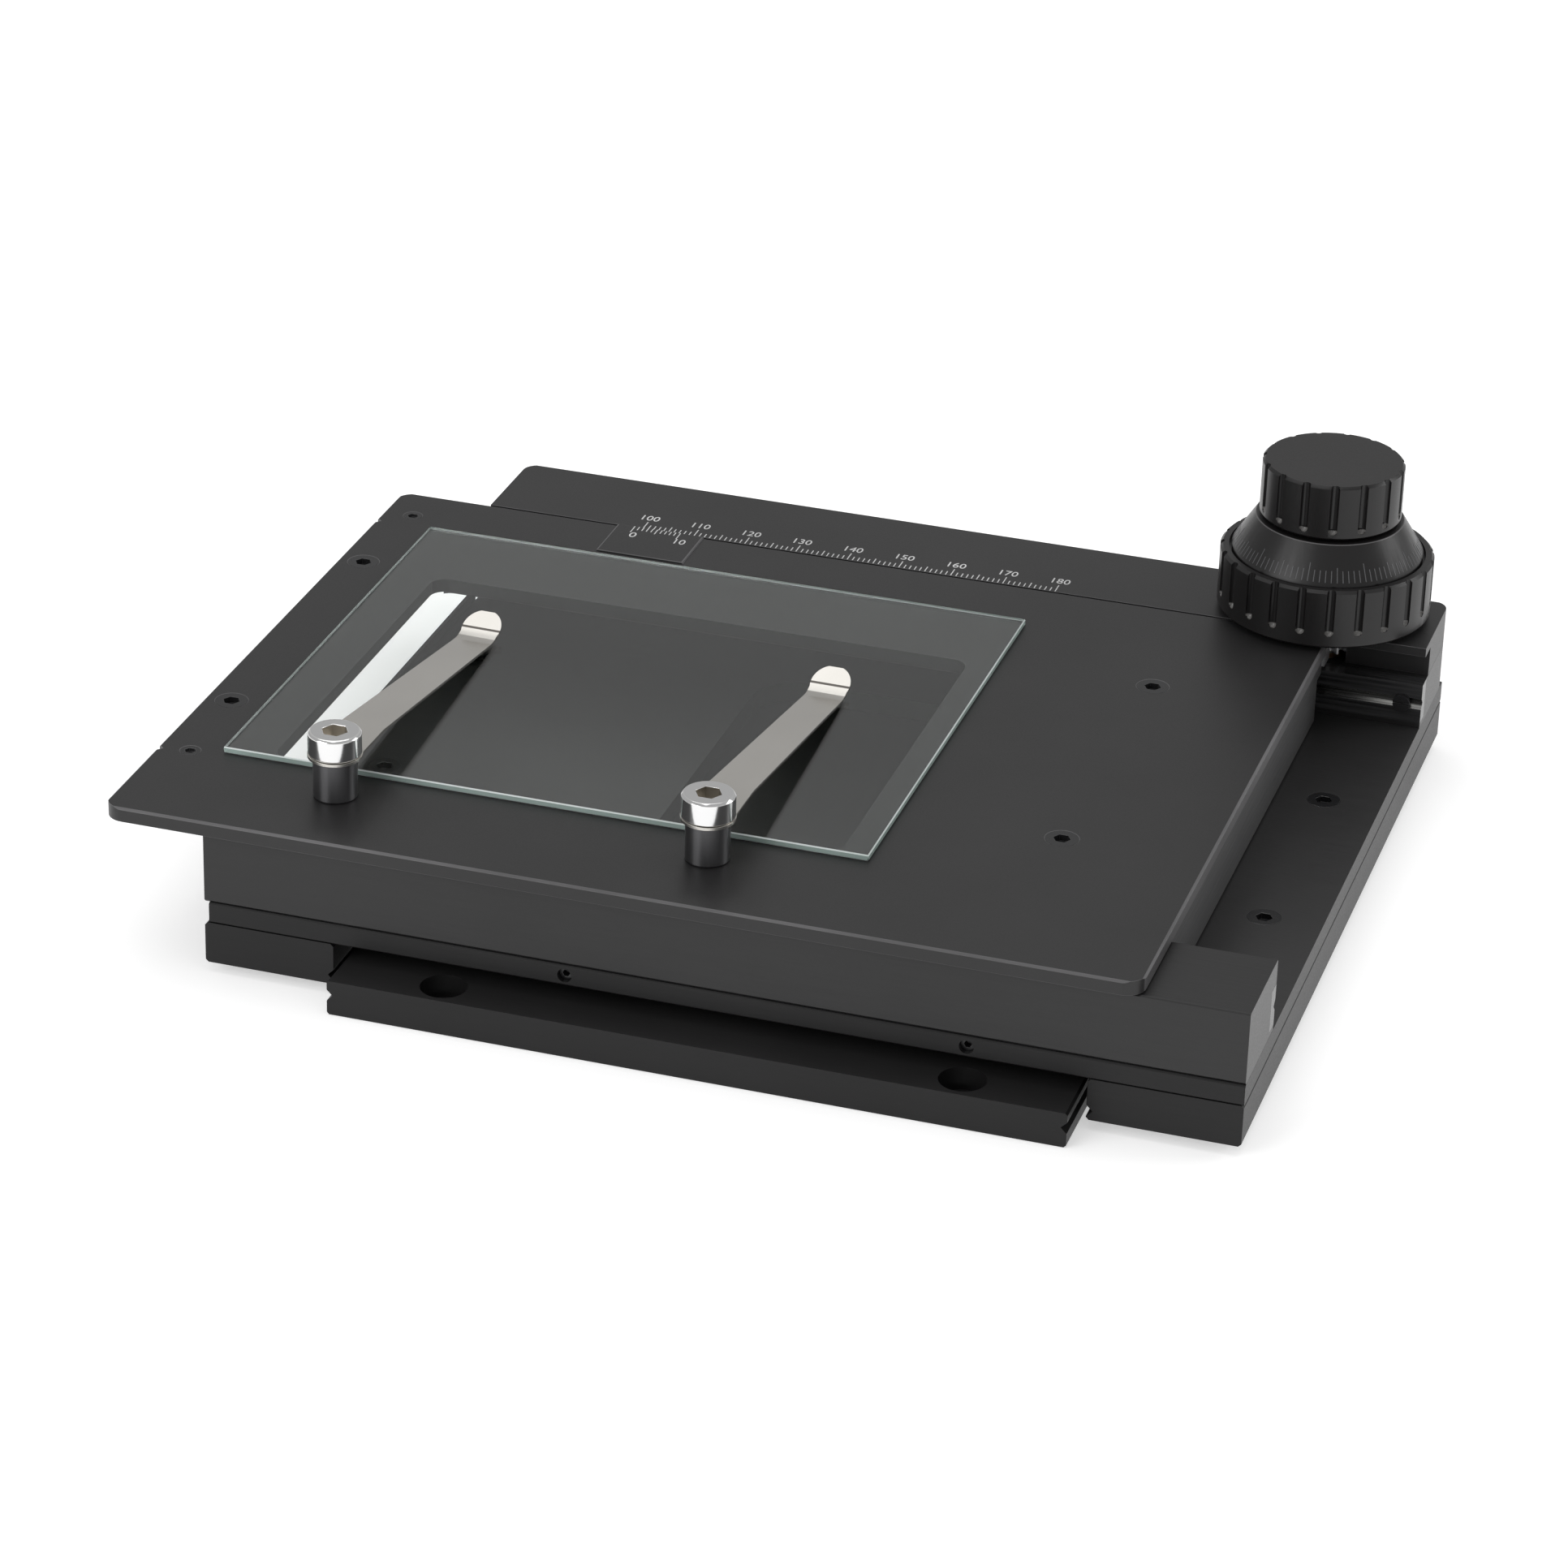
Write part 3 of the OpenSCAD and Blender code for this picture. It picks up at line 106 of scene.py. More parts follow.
@dataclass(frozen=True)
class Finish:
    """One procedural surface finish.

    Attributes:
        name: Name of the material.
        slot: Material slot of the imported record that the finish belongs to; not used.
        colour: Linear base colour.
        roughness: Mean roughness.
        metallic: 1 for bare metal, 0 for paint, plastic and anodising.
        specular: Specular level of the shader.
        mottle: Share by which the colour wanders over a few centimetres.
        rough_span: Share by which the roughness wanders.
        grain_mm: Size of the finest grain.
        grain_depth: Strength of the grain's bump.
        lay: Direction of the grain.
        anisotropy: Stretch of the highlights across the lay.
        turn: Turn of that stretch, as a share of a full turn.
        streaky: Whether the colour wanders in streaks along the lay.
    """

    name: str
    slot: str
    colour: tuple[float, float, float]
    roughness: float
    metallic: float = 0.0
    specular: float = 0.5
    mottle: float = 0.12
    rough_span: float = 0.12
    grain_mm: float = 0.25
    grain_depth: float = 0.05
    lay: Axis = Axis.NONE
    anisotropy: float = 0.0
    turn: float = 0.0
    streaky: bool = False

    def material(self) -> bpy.types.Material:
        """Gives the material, made on first use.

        Returns:
            The Blender material.
        """
        found = bpy.data.materials.get(self.name)
        if found is not None:
            return found
        made = bpy.data.materials.new(self.name)
        made.use_nodes = True
        self.wire(made.node_tree)
        return made

    def wire(self, tree: bpy.types.NodeTree) -> None:
        """Wires colour, roughness and grain to the shader.

        Args:
            tree: The material's node tree.
        """
        shader = tree.nodes["Principled BSDF"]
        shader.inputs["Metallic"].default_value = self.metallic
        shader.inputs["Specular IOR Level"].default_value = self.specular
        shader.inputs["Anisotropic"].default_value = self.anisotropy
        shader.inputs["Anisotropic Rotation"].default_value = self.turn
        place = tree.nodes.new("ShaderNodeTexCoord")
        turn = tree.nodes.new("ShaderNodeMapping")
        turn.inputs["Scale"].default_value = self.lay.value
        tree.links.new(place.outputs["Object"], turn.inputs["Vector"])
        if self.streaky:
            cloud = self.noise(tree, turn.outputs["Vector"], STREAKS_PER_M, CLOUD_OCTAVES)
        else:
            cloud = self.noise(tree, place.outputs["Object"], CLOUDS_PER_M, CLOUD_OCTAVES)
        grain = self.noise(tree, turn.outputs["Vector"], 1.0 / (self.grain_mm * MM), GRAIN_OCTAVES)
        tone = tree.nodes.new("ShaderNodeValToRGB")
        low, high = (1.0 - self.mottle), (1.0 + self.mottle)
        tone.color_ramp.elements[0].position = TONE_SPAN[0]
        tone.color_ramp.elements[1].position = TONE_SPAN[1]
        tone.color_ramp.elements[0].color = (*(c * low for c in self.colour), 1.0)
        tone.color_ramp.elements[1].color = (*(min(1.0, c * high) for c in self.colour), 1.0)
        tree.links.new(cloud, tone.inputs["Fac"])
        tree.links.new(tone.outputs["Color"], shader.inputs["Base Color"])
        gloss = tree.nodes.new("ShaderNodeMapRange")
        gloss.inputs["From Min"].default_value = GLOSS_SPAN[0]
        gloss.inputs["From Max"].default_value = GLOSS_SPAN[1]
        gloss.inputs["To Min"].default_value = self.roughness * (1.0 - self.rough_span)
        gloss.inputs["To Max"].default_value = min(1.0, self.roughness * (1.0 + self.rough_span))
        tree.links.new(grain, gloss.inputs["Value"])
        tree.links.new(gloss.outputs["Result"], shader.inputs["Roughness"])
        bump = tree.nodes.new("ShaderNodeBump")
        bump.inputs["Strength"].default_value = self.grain_depth
        bump.inputs["Distance"].default_value = self.grain_mm * MM * BUMP_SHARE
        tree.links.new(grain, bump.inputs["Height"])
        tree.links.new(bump.outputs["Normal"], shader.inputs["Normal"])

    @staticmethod
    def noise(
        tree: bpy.types.NodeTree, vector: bpy.types.NodeSocket, scale: float, detail: float
    ) -> bpy.types.NodeSocket:
        """Adds a noise texture.

        Args:
            tree: The material's node tree.
            vector: Where the pattern is read.
            scale: Features per metre.
            detail: Octaves.

        Returns:
            The noise value's socket.
        """
        node = tree.nodes.new("ShaderNodeTexNoise")
        node.inputs["Scale"].default_value = scale
        node.inputs["Detail"].default_value = detail
        tree.links.new(vector, node.inputs["Vector"])
        return node.outputs["Fac"]


@dataclass(frozen=True)
class ClearFinish(Finish):
    """A transparent finish: polished float glass or its ground, greenish edge.

    Attributes:
        transmission: Share of the light that goes through.
        index: Refractive index, which also sets how much the surface mirrors.
    """

    transmission: float = 1.0
    index: float = 1.5

    def wire(self, tree: bpy.types.NodeTree) -> None:
        """Wires the plain finish, then lets light through.

        Args:
            tree: The material's node tree.
        """
        super().wire(tree)
        shader = tree.nodes["Principled BSDF"]
        shader.inputs["Transmission Weight"].default_value = self.transmission
        shader.inputs["IOR"].default_value = self.index


ANODISED = Finish(
    "anodised_black", "black_anodised", (0.0160, 0.0156, 0.0160), 0.40, specular=0.48, grain_depth=0.10,
)
MILLED = Finish(
    "anodised_black_milled", "black_anodised", (0.0155, 0.0152, 0.0155), 0.38, specular=0.46, mottle=0.10,
    grain_mm=0.35, grain_depth=0.16, lay=Axis.ALONG_X,
)
DULL = Finish(
    "anodised_black_dull", "black_anodised", (0.012, 0.0117, 0.012), 0.42, specular=0.3, mottle=0.10,
    grain_mm=0.35, grain_depth=0.16, lay=Axis.ALONG_X,
)
# Glossier anodising for faces that look up; its colour, twice the plate's own, is painted light on the tops.
PAINTED_LIT_TOP = Finish(
    "anodised_black_painted_lit_top", "black_anodised", (0.022, 0.0216, 0.022), 0.40, specular=0.56, mottle=0.10,
    grain_mm=0.35, grain_depth=0.16, lay=Axis.ALONG_X,
)
# About four times the colour of the other anodising: painted light, standing in for the light on the slide
# frame's lit right face.
SLIDE_PAINTED_LIGHT = Finish(
    "anodised_black_slide_painted_light", "black_anodised", (0.060, 0.060, 0.061), 0.45, specular=0.6, mottle=0.10,
    grain_mm=0.35, grain_depth=0.16, lay=Axis.ALONG_Y,
)
# Lighter anodising for eased edges, chamfers and the top plate's ends: a painted highlight.
PAINTED_HIGHLIGHT = Finish("anodised_painted_highlight", "black_anodised", (0.100, 0.098, 0.101), 0.36, specular=0.6, mottle=0.25)
KNOB = Finish("turned_black", "black_knob", (0.0105, 0.0098, 0.0100), 0.34, specular=0.42, grain_depth=0.08)
# Lighter rim for the knobs' eased edges: a painted highlight.
KNOB_EDGE_HIGHLIGHT = Finish("turned_black_edge_painted_highlight", "black_knob", (0.095, 0.092, 0.094), 0.30, specular=0.60, mottle=0.20)
# Much lighter finish of the flutes' round ends: a painted glint.
FLUTE_END_GLINT = Finish("turned_black_flute_end_painted_glint", "black_knob", (0.16, 0.155, 0.15), 0.30, specular=0.60, mottle=0.20)
POST = Finish(
    "dark_nickel", "post_black", (0.150, 0.150, 0.155), 0.32, 1.0, mottle=0.05, grain_depth=0.02,
    anisotropy=0.92, turn=0.25,
)
SCREW = Finish("oxide_black", "black_screw", (0.012, 0.012, 0.013), 0.30, grain_depth=0.08)
# Bright metal on the rail screws' eased edges: a painted glint.
SCREW_GLINT = Finish("oxide_black_painted_glint", "black_screw", (0.34, 0.34, 0.34), 0.24, 1.0, mottle=0.5)
# Lighter rim of the small screws' eased edges: a painted highlight.
SCREW_EDGE_HIGHLIGHT = Finish("oxide_black_edge_painted_highlight", "black_screw", (0.05, 0.05, 0.052), 0.25, specular=0.8, mottle=0.3)
GROUND = Finish(
    "ground_steel", "ground_steel", (0.42, 0.42, 0.43), 0.16, 1.0, mottle=0.5, grain_mm=0.12, grain_depth=0.06,
    lay=Axis.ALONG_X, anisotropy=0.3, streaky=True,
)
FLANK = Finish(
    "ground_flank", "ground_steel", (0.16, 0.16, 0.155), 0.26, 1.0, mottle=0.8, grain_mm=0.12, grain_depth=0.10,
    lay=Axis.ALONG_X, anisotropy=0.3, streaky=True,
)
STRIP = Finish(
    "oiled_steel", "ground_steel", (0.030, 0.030, 0.031), 0.24, specular=0.5, mottle=0.7, grain_mm=0.12,
    grain_depth=0.06, lay=Axis.ALONG_X, streaky=True,
)
SPRING = Finish(
    "satin_steel", "spring_steel", (0.66, 0.64, 0.60), 0.24, 1.0, mottle=0.04, grain_mm=0.10,
    grain_depth=0.10, lay=Axis.ALONG_Y, anisotropy=0.35,
)
# Dark steel for the strip beside the blade's fold: painted shade along the bend.
FOLD_SHADE = Finish("spring_fold_painted_shade", "spring_steel", (0.13, 0.12, 0.11), 0.30, 1.0, mottle=0.2)
CHROME = Finish("chrome", "chrome", (0.74, 0.74, 0.74), 0.08, 1.0, mottle=0.03, grain_depth=0.02)
# Brighter chrome on the clip screws' eased rims: a painted highlight.
CHROME_RIM_HIGHLIGHT = Finish("chrome_rim_painted_highlight", "chrome", (0.90, 0.90, 0.89), 0.14, 1.0, mottle=0.03, grain_depth=0.02)
SOCKET = Finish("chrome_socket", "chrome", (0.60, 0.57, 0.52), 0.32, 1.0, mottle=0.45, grain_mm=0.5)
BALL = Finish("polished_ball", "bearing_ball", (0.72, 0.72, 0.73), 0.08, 1.0, mottle=0.03, grain_depth=0.01)
BRONZE = Finish("bearing_bronze", "bronze", (0.42, 0.25, 0.11), 0.34, 1.0, grain_depth=0.10)
SLIP = Finish("slip_plastic", "slip_plastic", (0.72, 0.71, 0.68), 0.45, mottle=0.05)
PAINT = Finish("mark_white", "slip_plastic", (0.62, 0.62, 0.62), 0.55, mottle=0.10, grain_mm=0.1)
SCRIBE = Finish("mark_grey", "slip_plastic", (0.10, 0.10, 0.105), 0.40, mottle=0.10, grain_mm=0.1)
GLASS = ClearFinish(
    "float_glass", "glass", (0.955, 0.985, 0.968), 0.004, mottle=0.006, rough_span=0.5, grain_depth=0.0,
    grain_mm=6.0, index=1.38,
)
GLASS_EDGE = ClearFinish(
    "float_glass_edge", "glass", (0.70, 0.88, 0.82), 0.18, mottle=0.12, grain_depth=0.12, transmission=0.45,
)
GLASS_CHAMFER = ClearFinish(
    "float_glass_chamfer", "glass", (0.82, 0.92, 0.88), 0.40, mottle=0.15, grain_depth=0.15, transmission=0.25,
)


def deselect_all() -> None:
    """Leaves object mode with nothing selected."""
    if bpy.context.object is not None and bpy.context.object.mode != "OBJECT":
        bpy.ops.object.mode_set(mode="OBJECT")
    bpy.ops.object.select_all(action="DESELECT")


def activate(piece: bpy.types.Object) -> None:
    """Selects one piece alone and makes it the active one.

    Args:
        piece: The piece to work on.
    """
    deselect_all()
    piece.select_set(True)
    bpy.context.view_layer.objects.active = piece


def pick_faces(piece: bpy.types.Object, wanted: Callable[[bpy.types.MeshPolygon], bool]) -> None:
    """Enters edit mode with only some faces selected.

    Args:
        piece: The piece.
        wanted: Says whether a face is to be selected.
    """
    activate(piece)
    bpy.ops.object.mode_set(mode="EDIT")
    bpy.ops.mesh.select_mode(type="FACE")
    bpy.ops.mesh.select_all(action="DESELECT")
    bpy.ops.object.mode_set(mode="OBJECT")
    for face in piece.data.polygons:
        face.select = wanted(face)
    bpy.ops.object.mode_set(mode="EDIT")


def rank_of(value: int) -> Rank:
    """Ranks a division by its value.

    Args:
        value: The division's value.

    Returns:
        Its rank.
    """
    if value % Rank.MAJOR.value == 0:
        return Rank.MAJOR
    return Rank.MIDDLE if value % Rank.MIDDLE.value == 0 else Rank.MINOR


def dress(piece: bpy.types.Object, *finishes: Finish) -> None:
    """Gives a piece its finishes in the order of its material slots.

    Args:
        piece: The piece.
        finishes: One finish per slot.
    """
    piece.data.materials.clear()
    for finish in finishes:
        piece.data.materials.append(finish.material())


def twin(piece: bpy.types.Object, name: str, place: Matrix) -> bpy.types.Object:
    """Copies a piece with a mesh of its own, moved in the mesh.

    Args:
        piece: The piece that was modelled.
        name: Name of the copy.
        place: Where the copy goes, applied to its mesh.

    Returns:
        The copy.
    """
    made = piece.copy()
    made.data = piece.data.copy()
    made.name = name
    made.data.transform(place)
    bpy.context.scene.collection.objects.link(made)
    return made


def join(name: str, parts: list[bpy.types.Object]) -> bpy.types.Object:
    """Joins parts into one piece.

    Args:
        name: Name of the piece.
        parts: What is joined.

    Returns:
        The joined piece.
    """
    deselect_all()
    for part in parts:
        part.select_set(True)
    bpy.context.view_layer.objects.active = parts[0]
    bpy.ops.object.join()
    made = bpy.context.active_object
    made.name = name
    made.data.name = name
    return made


@dataclass
class Crew:
    """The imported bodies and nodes, and which body carries which node.

    Attributes:
        carrier: Body of each node.
    """

    frame: dict
    carrier: dict[str, str] = field(default_factory=dict)

    def __post_init__(self) -> None:
        """Looks up the body of every node."""
        for body, nodes in self.frame["record"]["behaviour"]["bodies"].items():
            for node in nodes:
                self.carrier[node] = body

    def node(self, name: str) -> bpy.types.Object:
        """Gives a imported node's object."""
        return self.frame["nodes"][name]


@dataclass
class EasedPart:
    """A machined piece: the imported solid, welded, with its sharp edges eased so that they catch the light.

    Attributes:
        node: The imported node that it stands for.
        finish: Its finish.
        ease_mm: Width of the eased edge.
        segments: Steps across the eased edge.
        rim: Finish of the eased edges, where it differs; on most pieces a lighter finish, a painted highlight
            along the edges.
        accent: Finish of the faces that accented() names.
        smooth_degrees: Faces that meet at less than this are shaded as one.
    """

    node: str
    finish: Finish
    ease_mm: float = 0.3
    segments: int = 2
    rim: Finish | None = None
    accent: Finish | None = None
    smooth_degrees: float = 40.0

    def build(self, crew: Crew) -> bpy.types.Object:
        """Copies the solid, welds it, eases its edges and dresses it.

        Args:
            crew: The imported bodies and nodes.

        Returns:
            The piece.
        """
        piece = self.weld(crew.node(self.node))
        rim = self.rim or self.finish
        dress(piece, self.finish, rim, self.accent or rim)
        self.shape(piece)
        self.ease(piece)
        for face in piece.data.polygons:
            if self.accented(piece, face):
                face.material_index = 2
        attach(piece, crew.carrier[self.node])
        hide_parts(self.node)
        return piece

    def accented(self, piece: bpy.types.Object, face: bpy.types.MeshPolygon) -> bool:
        """Says whether a face has the accent's finish; a plain part has none."""
        return False

    def weld(self, source: bpy.types.Object) -> bpy.types.Object:
        """Copies a node and turns its loose triangles into one closed skin of flat faces.

        Args:
            source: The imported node's object.

        Returns:
            The welded copy.
        """
        piece = source.copy()
        piece.data = source.data.copy()
        piece.name = self.node + "_eased"
        piece.data.name = piece.name
        del piece["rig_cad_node"]
        bpy.context.scene.collection.objects.link(piece)
        activate(piece)
        bpy.ops.object.mode_set(mode="EDIT")
        bpy.ops.mesh.customdata_custom_splitnormals_clear()
        bpy.ops.mesh.select_all(action="SELECT")
        bpy.ops.mesh.remove_doubles(threshold=WELD_M)
        bpy.ops.mesh.dissolve_limited(angle_limit=math.radians(FLAT_DEGREES))
        bpy.ops.object.mode_set(mode="OBJECT")
        for face in piece.data.polygons:
            face.material_index = 0
        return piece

    def shape(self, piece: bpy.types.Object) -> None:
        """Leaves the welded copy as it is; a piece with more detail adds it here."""

    def ease(self, piece: bpy.types.Object) -> None:
        """Bevels every sharp edge and smooths the rest.

        Args:
            piece: The welded copy.
        """
        activate(piece)
        bevel = piece.modifiers.new("ease", "BEVEL")
        bevel.width = self.ease_mm * MM
        bevel.segments = self.segments
        bevel.limit_method = "ANGLE"
        bevel.angle_limit = math.radians(SHARP_DEGREES)
        bevel.miter_outer = "MITER_ARC"
        bevel.material = 1
        bpy.ops.object.modifier_apply(modifier="ease")
        bpy.ops.object.shade_smooth_by_angle(angle=math.radians(self.smooth_degrees))
        weigh = piece.modifiers.new("weigh", "WEIGHTED_NORMAL")
        weigh.mode = "FACE_AREA"
        weigh.weight = 100
        weigh.keep_sharp = True
        bpy.ops.object.modifier_apply(modifier="weigh")


@dataclass
class ChamferedPart(EasedPart):
    """A part whose chamfers, countersinks and groove flanks have a finish of their own.

    Attributes:
        least_lean: Least upward part of a leaning face's normal.
        most_lean: Most upward part of it.
    """

    least_lean: float = 0.2
    most_lean: float = 0.96

    def accented(self, piece: bpy.types.Object, face: bpy.types.MeshPolygon) -> bool:
        """Says whether a face leans, neither level nor upright."""
        return self.least_lean < abs(face.normal.z) < self.most_lean


@dataclass
class PlateWithMilledEnds(ChamferedPart):
    """A chamfered plate whose chamfers take a painted highlight and whose left and right ends take painted light,
    both by a lighter finish.
    """

    def accented(self, piece: bpy.types.Object, face: bpy.types.MeshPolygon) -> bool:
        """Says whether a face leans or is one of the two ends."""
        return super().accented(piece, face) or abs(face.normal.x) > self.most_lean


@dataclass
class GlassPlate(EasedPart):
    """A glass plate that rests on a hair of air, with ground chamfers and greenish upright edges.

    Attributes:
        air_mm: Thickness of the film of air.
        upright: Most upward part of an upright face's normal.
    """

    air_mm: float = 0.05
    upright: float = 0.3

    def shape(self, piece: bpy.types.Object) -> None:
        """Lifts the underside by the film of air.

        Args:
            piece: The welded copy.
        """
        pick_faces(piece, lambda face: face.normal.z < -FACING)
        bpy.ops.transform.translate(value=(0.0, 0.0, self.air_mm * MM))
        bpy.ops.object.mode_set(mode="OBJECT")

    def accented(self, piece: bpy.types.Object, face: bpy.types.MeshPolygon) -> bool:
        """Says whether a face stands upright."""
        return abs(face.normal.z) < self.upright


@dataclass
class DrawnPart(EasedPart):
    """A part with some of its ends drawn out to where the real one's lie.

    Attributes:
        draws: Direction of each end, with the length in millimetres by which it is drawn out.
        slack_mm: How far from the outermost point an end face's middle may lie.
    """

    draws: tuple[tuple[Vector, float], ...] = ()
    slack_mm: float = 0.01

    def shape(self, piece: bpy.types.Object) -> None:
        """Draws the outermost faces out.

        Args:
            piece: The welded copy.
        """
        for way, reach_mm in self.draws:
            end = max(vertex.co.dot(way) for vertex in piece.data.vertices) - self.slack_mm * MM
            pick_faces(piece, lambda face: face.normal.dot(way) > FACING and face.center.dot(way) > end)
            bpy.ops.transform.translate(value=way * reach_mm * MM)
            bpy.ops.object.mode_set(mode="OBJECT")


@dataclass
class TrackPlate(EasedPart):
    """A plate whose upper faces take a glossier, lighter finish; the lighter colour is painted light on the faces
    that look up.

    Attributes:
        level: Least upward part of an upper face's normal.
    """

    level: float = 0.96

    def accented(self, piece: bpy.types.Object, face: bpy.types.MeshPolygon) -> bool:
        """Says whether a face looks up."""
        return face.normal.z > self.level


@dataclass
class SocketScrew(EasedPart):
    """A cap screw whose hex socket is dull inside.

    Attributes:
        socket_mm: Radius that holds the whole socket.
        mouth_mm: Depth under the head's top where the dull part starts.
    """

    socket_mm: float = 2.45
    mouth_mm: float = 0.35

    def accented(self, piece: bpy.types.Object, face: bpy.types.MeshPolygon) -> bool:
        """Says whether a face lies inside the socket.

        Args:
            piece: The screw.
            face: One of its faces.

        Returns:
            Whether it does.
        """
        low, high = (Vector(corner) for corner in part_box(self.node))
        out = (face.center - (low + high) / 2.0).to_2d().length
        return out < self.socket_mm * MM and face.center.z < high.z - self.mouth_mm * MM


@dataclass
class BentBlade(EasedPart):
    """A spring blade whose tip is folded up in a small round bend, with a painted dark line of shade on the strip
    beside the tip.

    Attributes:
        cuts_mm: Where the strips of the bend start and end, from the fold towards the tip.
        fold_degrees: Least and most angle of the edges that make the fold.
        fold_mm: Least length of those edges.
        upward: Least upward part of an upper face's normal.
        fold: Middle of the fold.
        way: Level direction across the fold, towards the tip.
        half_angle: Half the angle of the fold.
    """

    cuts_mm: tuple[float, ...] = (-2.2, -1.7, -1.2, -0.7, -0.2, 0.3, 0.8, 1.3, 1.75, 2.2)
    fold_degrees: tuple[float, float] = (20.0, 60.0)
    fold_mm: float = 4.0
    upward: float = 0.5
    fold: Vector = field(default_factory=Vector)
    way: Vector = field(default_factory=Vector)
    half_angle: float = 0.0

    def shape(self, piece: bpy.types.Object) -> None:
        """Cuts the blade into strips across the fold and lifts them onto an arc.

        Args:
            piece: The welded copy.
        """
        self.find_fold(piece.data)
        activate(piece)
        bpy.ops.object.mode_set(mode="EDIT")
        for reach in self.cuts_mm:
            bpy.ops.mesh.select_all(action="SELECT")
            bpy.ops.mesh.bisect(plane_co=self.fold + self.way * reach * MM, plane_no=self.way)
        bpy.ops.object.mode_set(mode="OBJECT")
        span = self.cuts_mm[-1] * MM
        for vertex in piece.data.vertices:
            off = abs((vertex.co - self.fold).dot(self.way))
            if off < span:
                vertex.co.z += (span - off) ** 2 * math.tan(self.half_angle) / (2.0 * span)
        piece.data.update()

    def find_fold(self, mesh: bpy.types.Mesh) -> None:
        """Finds the two edges of the fold, on the upper and the lower face.

        Args:
            mesh: The blade's mesh.
        """
        sides: dict[tuple[int, ...], list[Vector]] = {}
        for face in mesh.polygons:
            for key in face.edge_keys:
                sides.setdefault(key, []).append(face.normal.copy())
        ends = []
        for edge in mesh.edges:
            start, end = (mesh.vertices[v].co.copy() for v in edge.vertices)
            angle = math.degrees(sides[edge.key][0].angle(sides[edge.key][1]))
            if (end - start).length > self.fold_mm * MM and self.fold_degrees[0] < angle < self.fold_degrees[1]:
                ends += [start, end]
                self.half_angle = math.radians(angle) / 2.0
        self.fold = sum(ends, Vector()) / len(ends)
        self.way = (ends[1] - ends[0]).cross(Vector((0.0, 0.0, 1.0))).normalized()
        if self.way.y < 0.0:
            self.way.negate()

    def accented(self, piece: bpy.types.Object, face: bpy.types.MeshPolygon) -> bool:
        """Says whether a face is the upper strip beside the tip, which takes the painted shade."""
        reach = (face.center - self.fold).dot(self.way) / MM
        return face.normal.z > self.upward and self.cuts_mm[-2] < reach < self.cuts_mm[-1]


@dataclass
class FlutedKnob(EasedPart):
    """A knob whose flutes end in the round bottom that a ball-nosed cutter leaves; those round ends take a
    painted glint.

    Attributes:
        radius_mm: Radius of the knob.
        count: Number of flutes.
        phase: Angle of the first flute, in degrees from +X.
        end_mm: Height where the flutes' round ends start.
        ball_mm: Radius of the cutter's round nose.
        skin_mm: Depth under the knob's surface where a round end's faces start.
        facets: Steps round the cutter's nose, and along it.
    """

    radius_mm: float = 19.5
    count: int = 23
    phase: float = 0.0
    end_mm: float = 33.3
    ball_mm: float = 0.8
    skin_mm: float = 0.1
    facets: tuple[int, int] = (20, 12)

    def shape(self, piece: bpy.types.Object) -> None:
        """Sinks one round end below every flute.

        Args:
            piece: The welded copy.
        """
        deselect_all()
        around, along = self.facets
        bpy.ops.mesh.primitive_uv_sphere_add(segments=around, ring_count=along, radius=self.ball_mm * MM)
        ball = bpy.context.active_object
        middle = Matrix.Translation(KNOB_AXIS + Vector((0.0, 0.0, self.end_mm)) * MM)
        balls = []
        for step in range(self.count):
            turn = Matrix.Rotation(math.radians(self.phase + 360.0 * step / self.count), 4, "Z")
            out = Matrix.Translation((self.radius_mm * MM, 0.0, 0.0))
            balls.append(twin(ball, "ball", middle @ turn @ out))
        bpy.data.objects.remove(ball)
        cutter = join("flute_cutter", balls)
        activate(piece)
        cut = piece.modifiers.new("flute_ends", "BOOLEAN")
        cut.operation = "DIFFERENCE"
        cut.solver = "EXACT"
        cut.object = cutter
        bpy.ops.object.modifier_apply(modifier="flute_ends")
        bpy.data.objects.remove(cutter)

    def accented(self, piece: bpy.types.Object, face: bpy.types.MeshPolygon) -> bool:
        """Says whether a face belongs to a flute's round end, which takes the painted glint.

        Args:
            piece: The knob.
            face: One of its faces.

        Returns:
            Whether it does.
        """
        out = (face.center - KNOB_AXIS).to_2d().length / MM
        inside = self.radius_mm - self.ball_mm < out < self.radius_mm - self.skin_mm
        return inside and self.end_mm - self.ball_mm < face.center.z / MM < self.end_mm


@dataclass
class CarriedParts:
    """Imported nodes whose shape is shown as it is, under one finish.

    Attributes:
        finish: The finish.
        nodes: The nodes that get it.
    """

    finish: Finish
    nodes: tuple[str, ...]

    def dress(self, crew: Crew) -> None:
        """Puts the finish into the material slots of every node.

        Args:
            crew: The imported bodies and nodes.
        """
        for name in self.nodes:
            for slot in crew.node(name).material_slots:
                slot.material = self.finish.material()


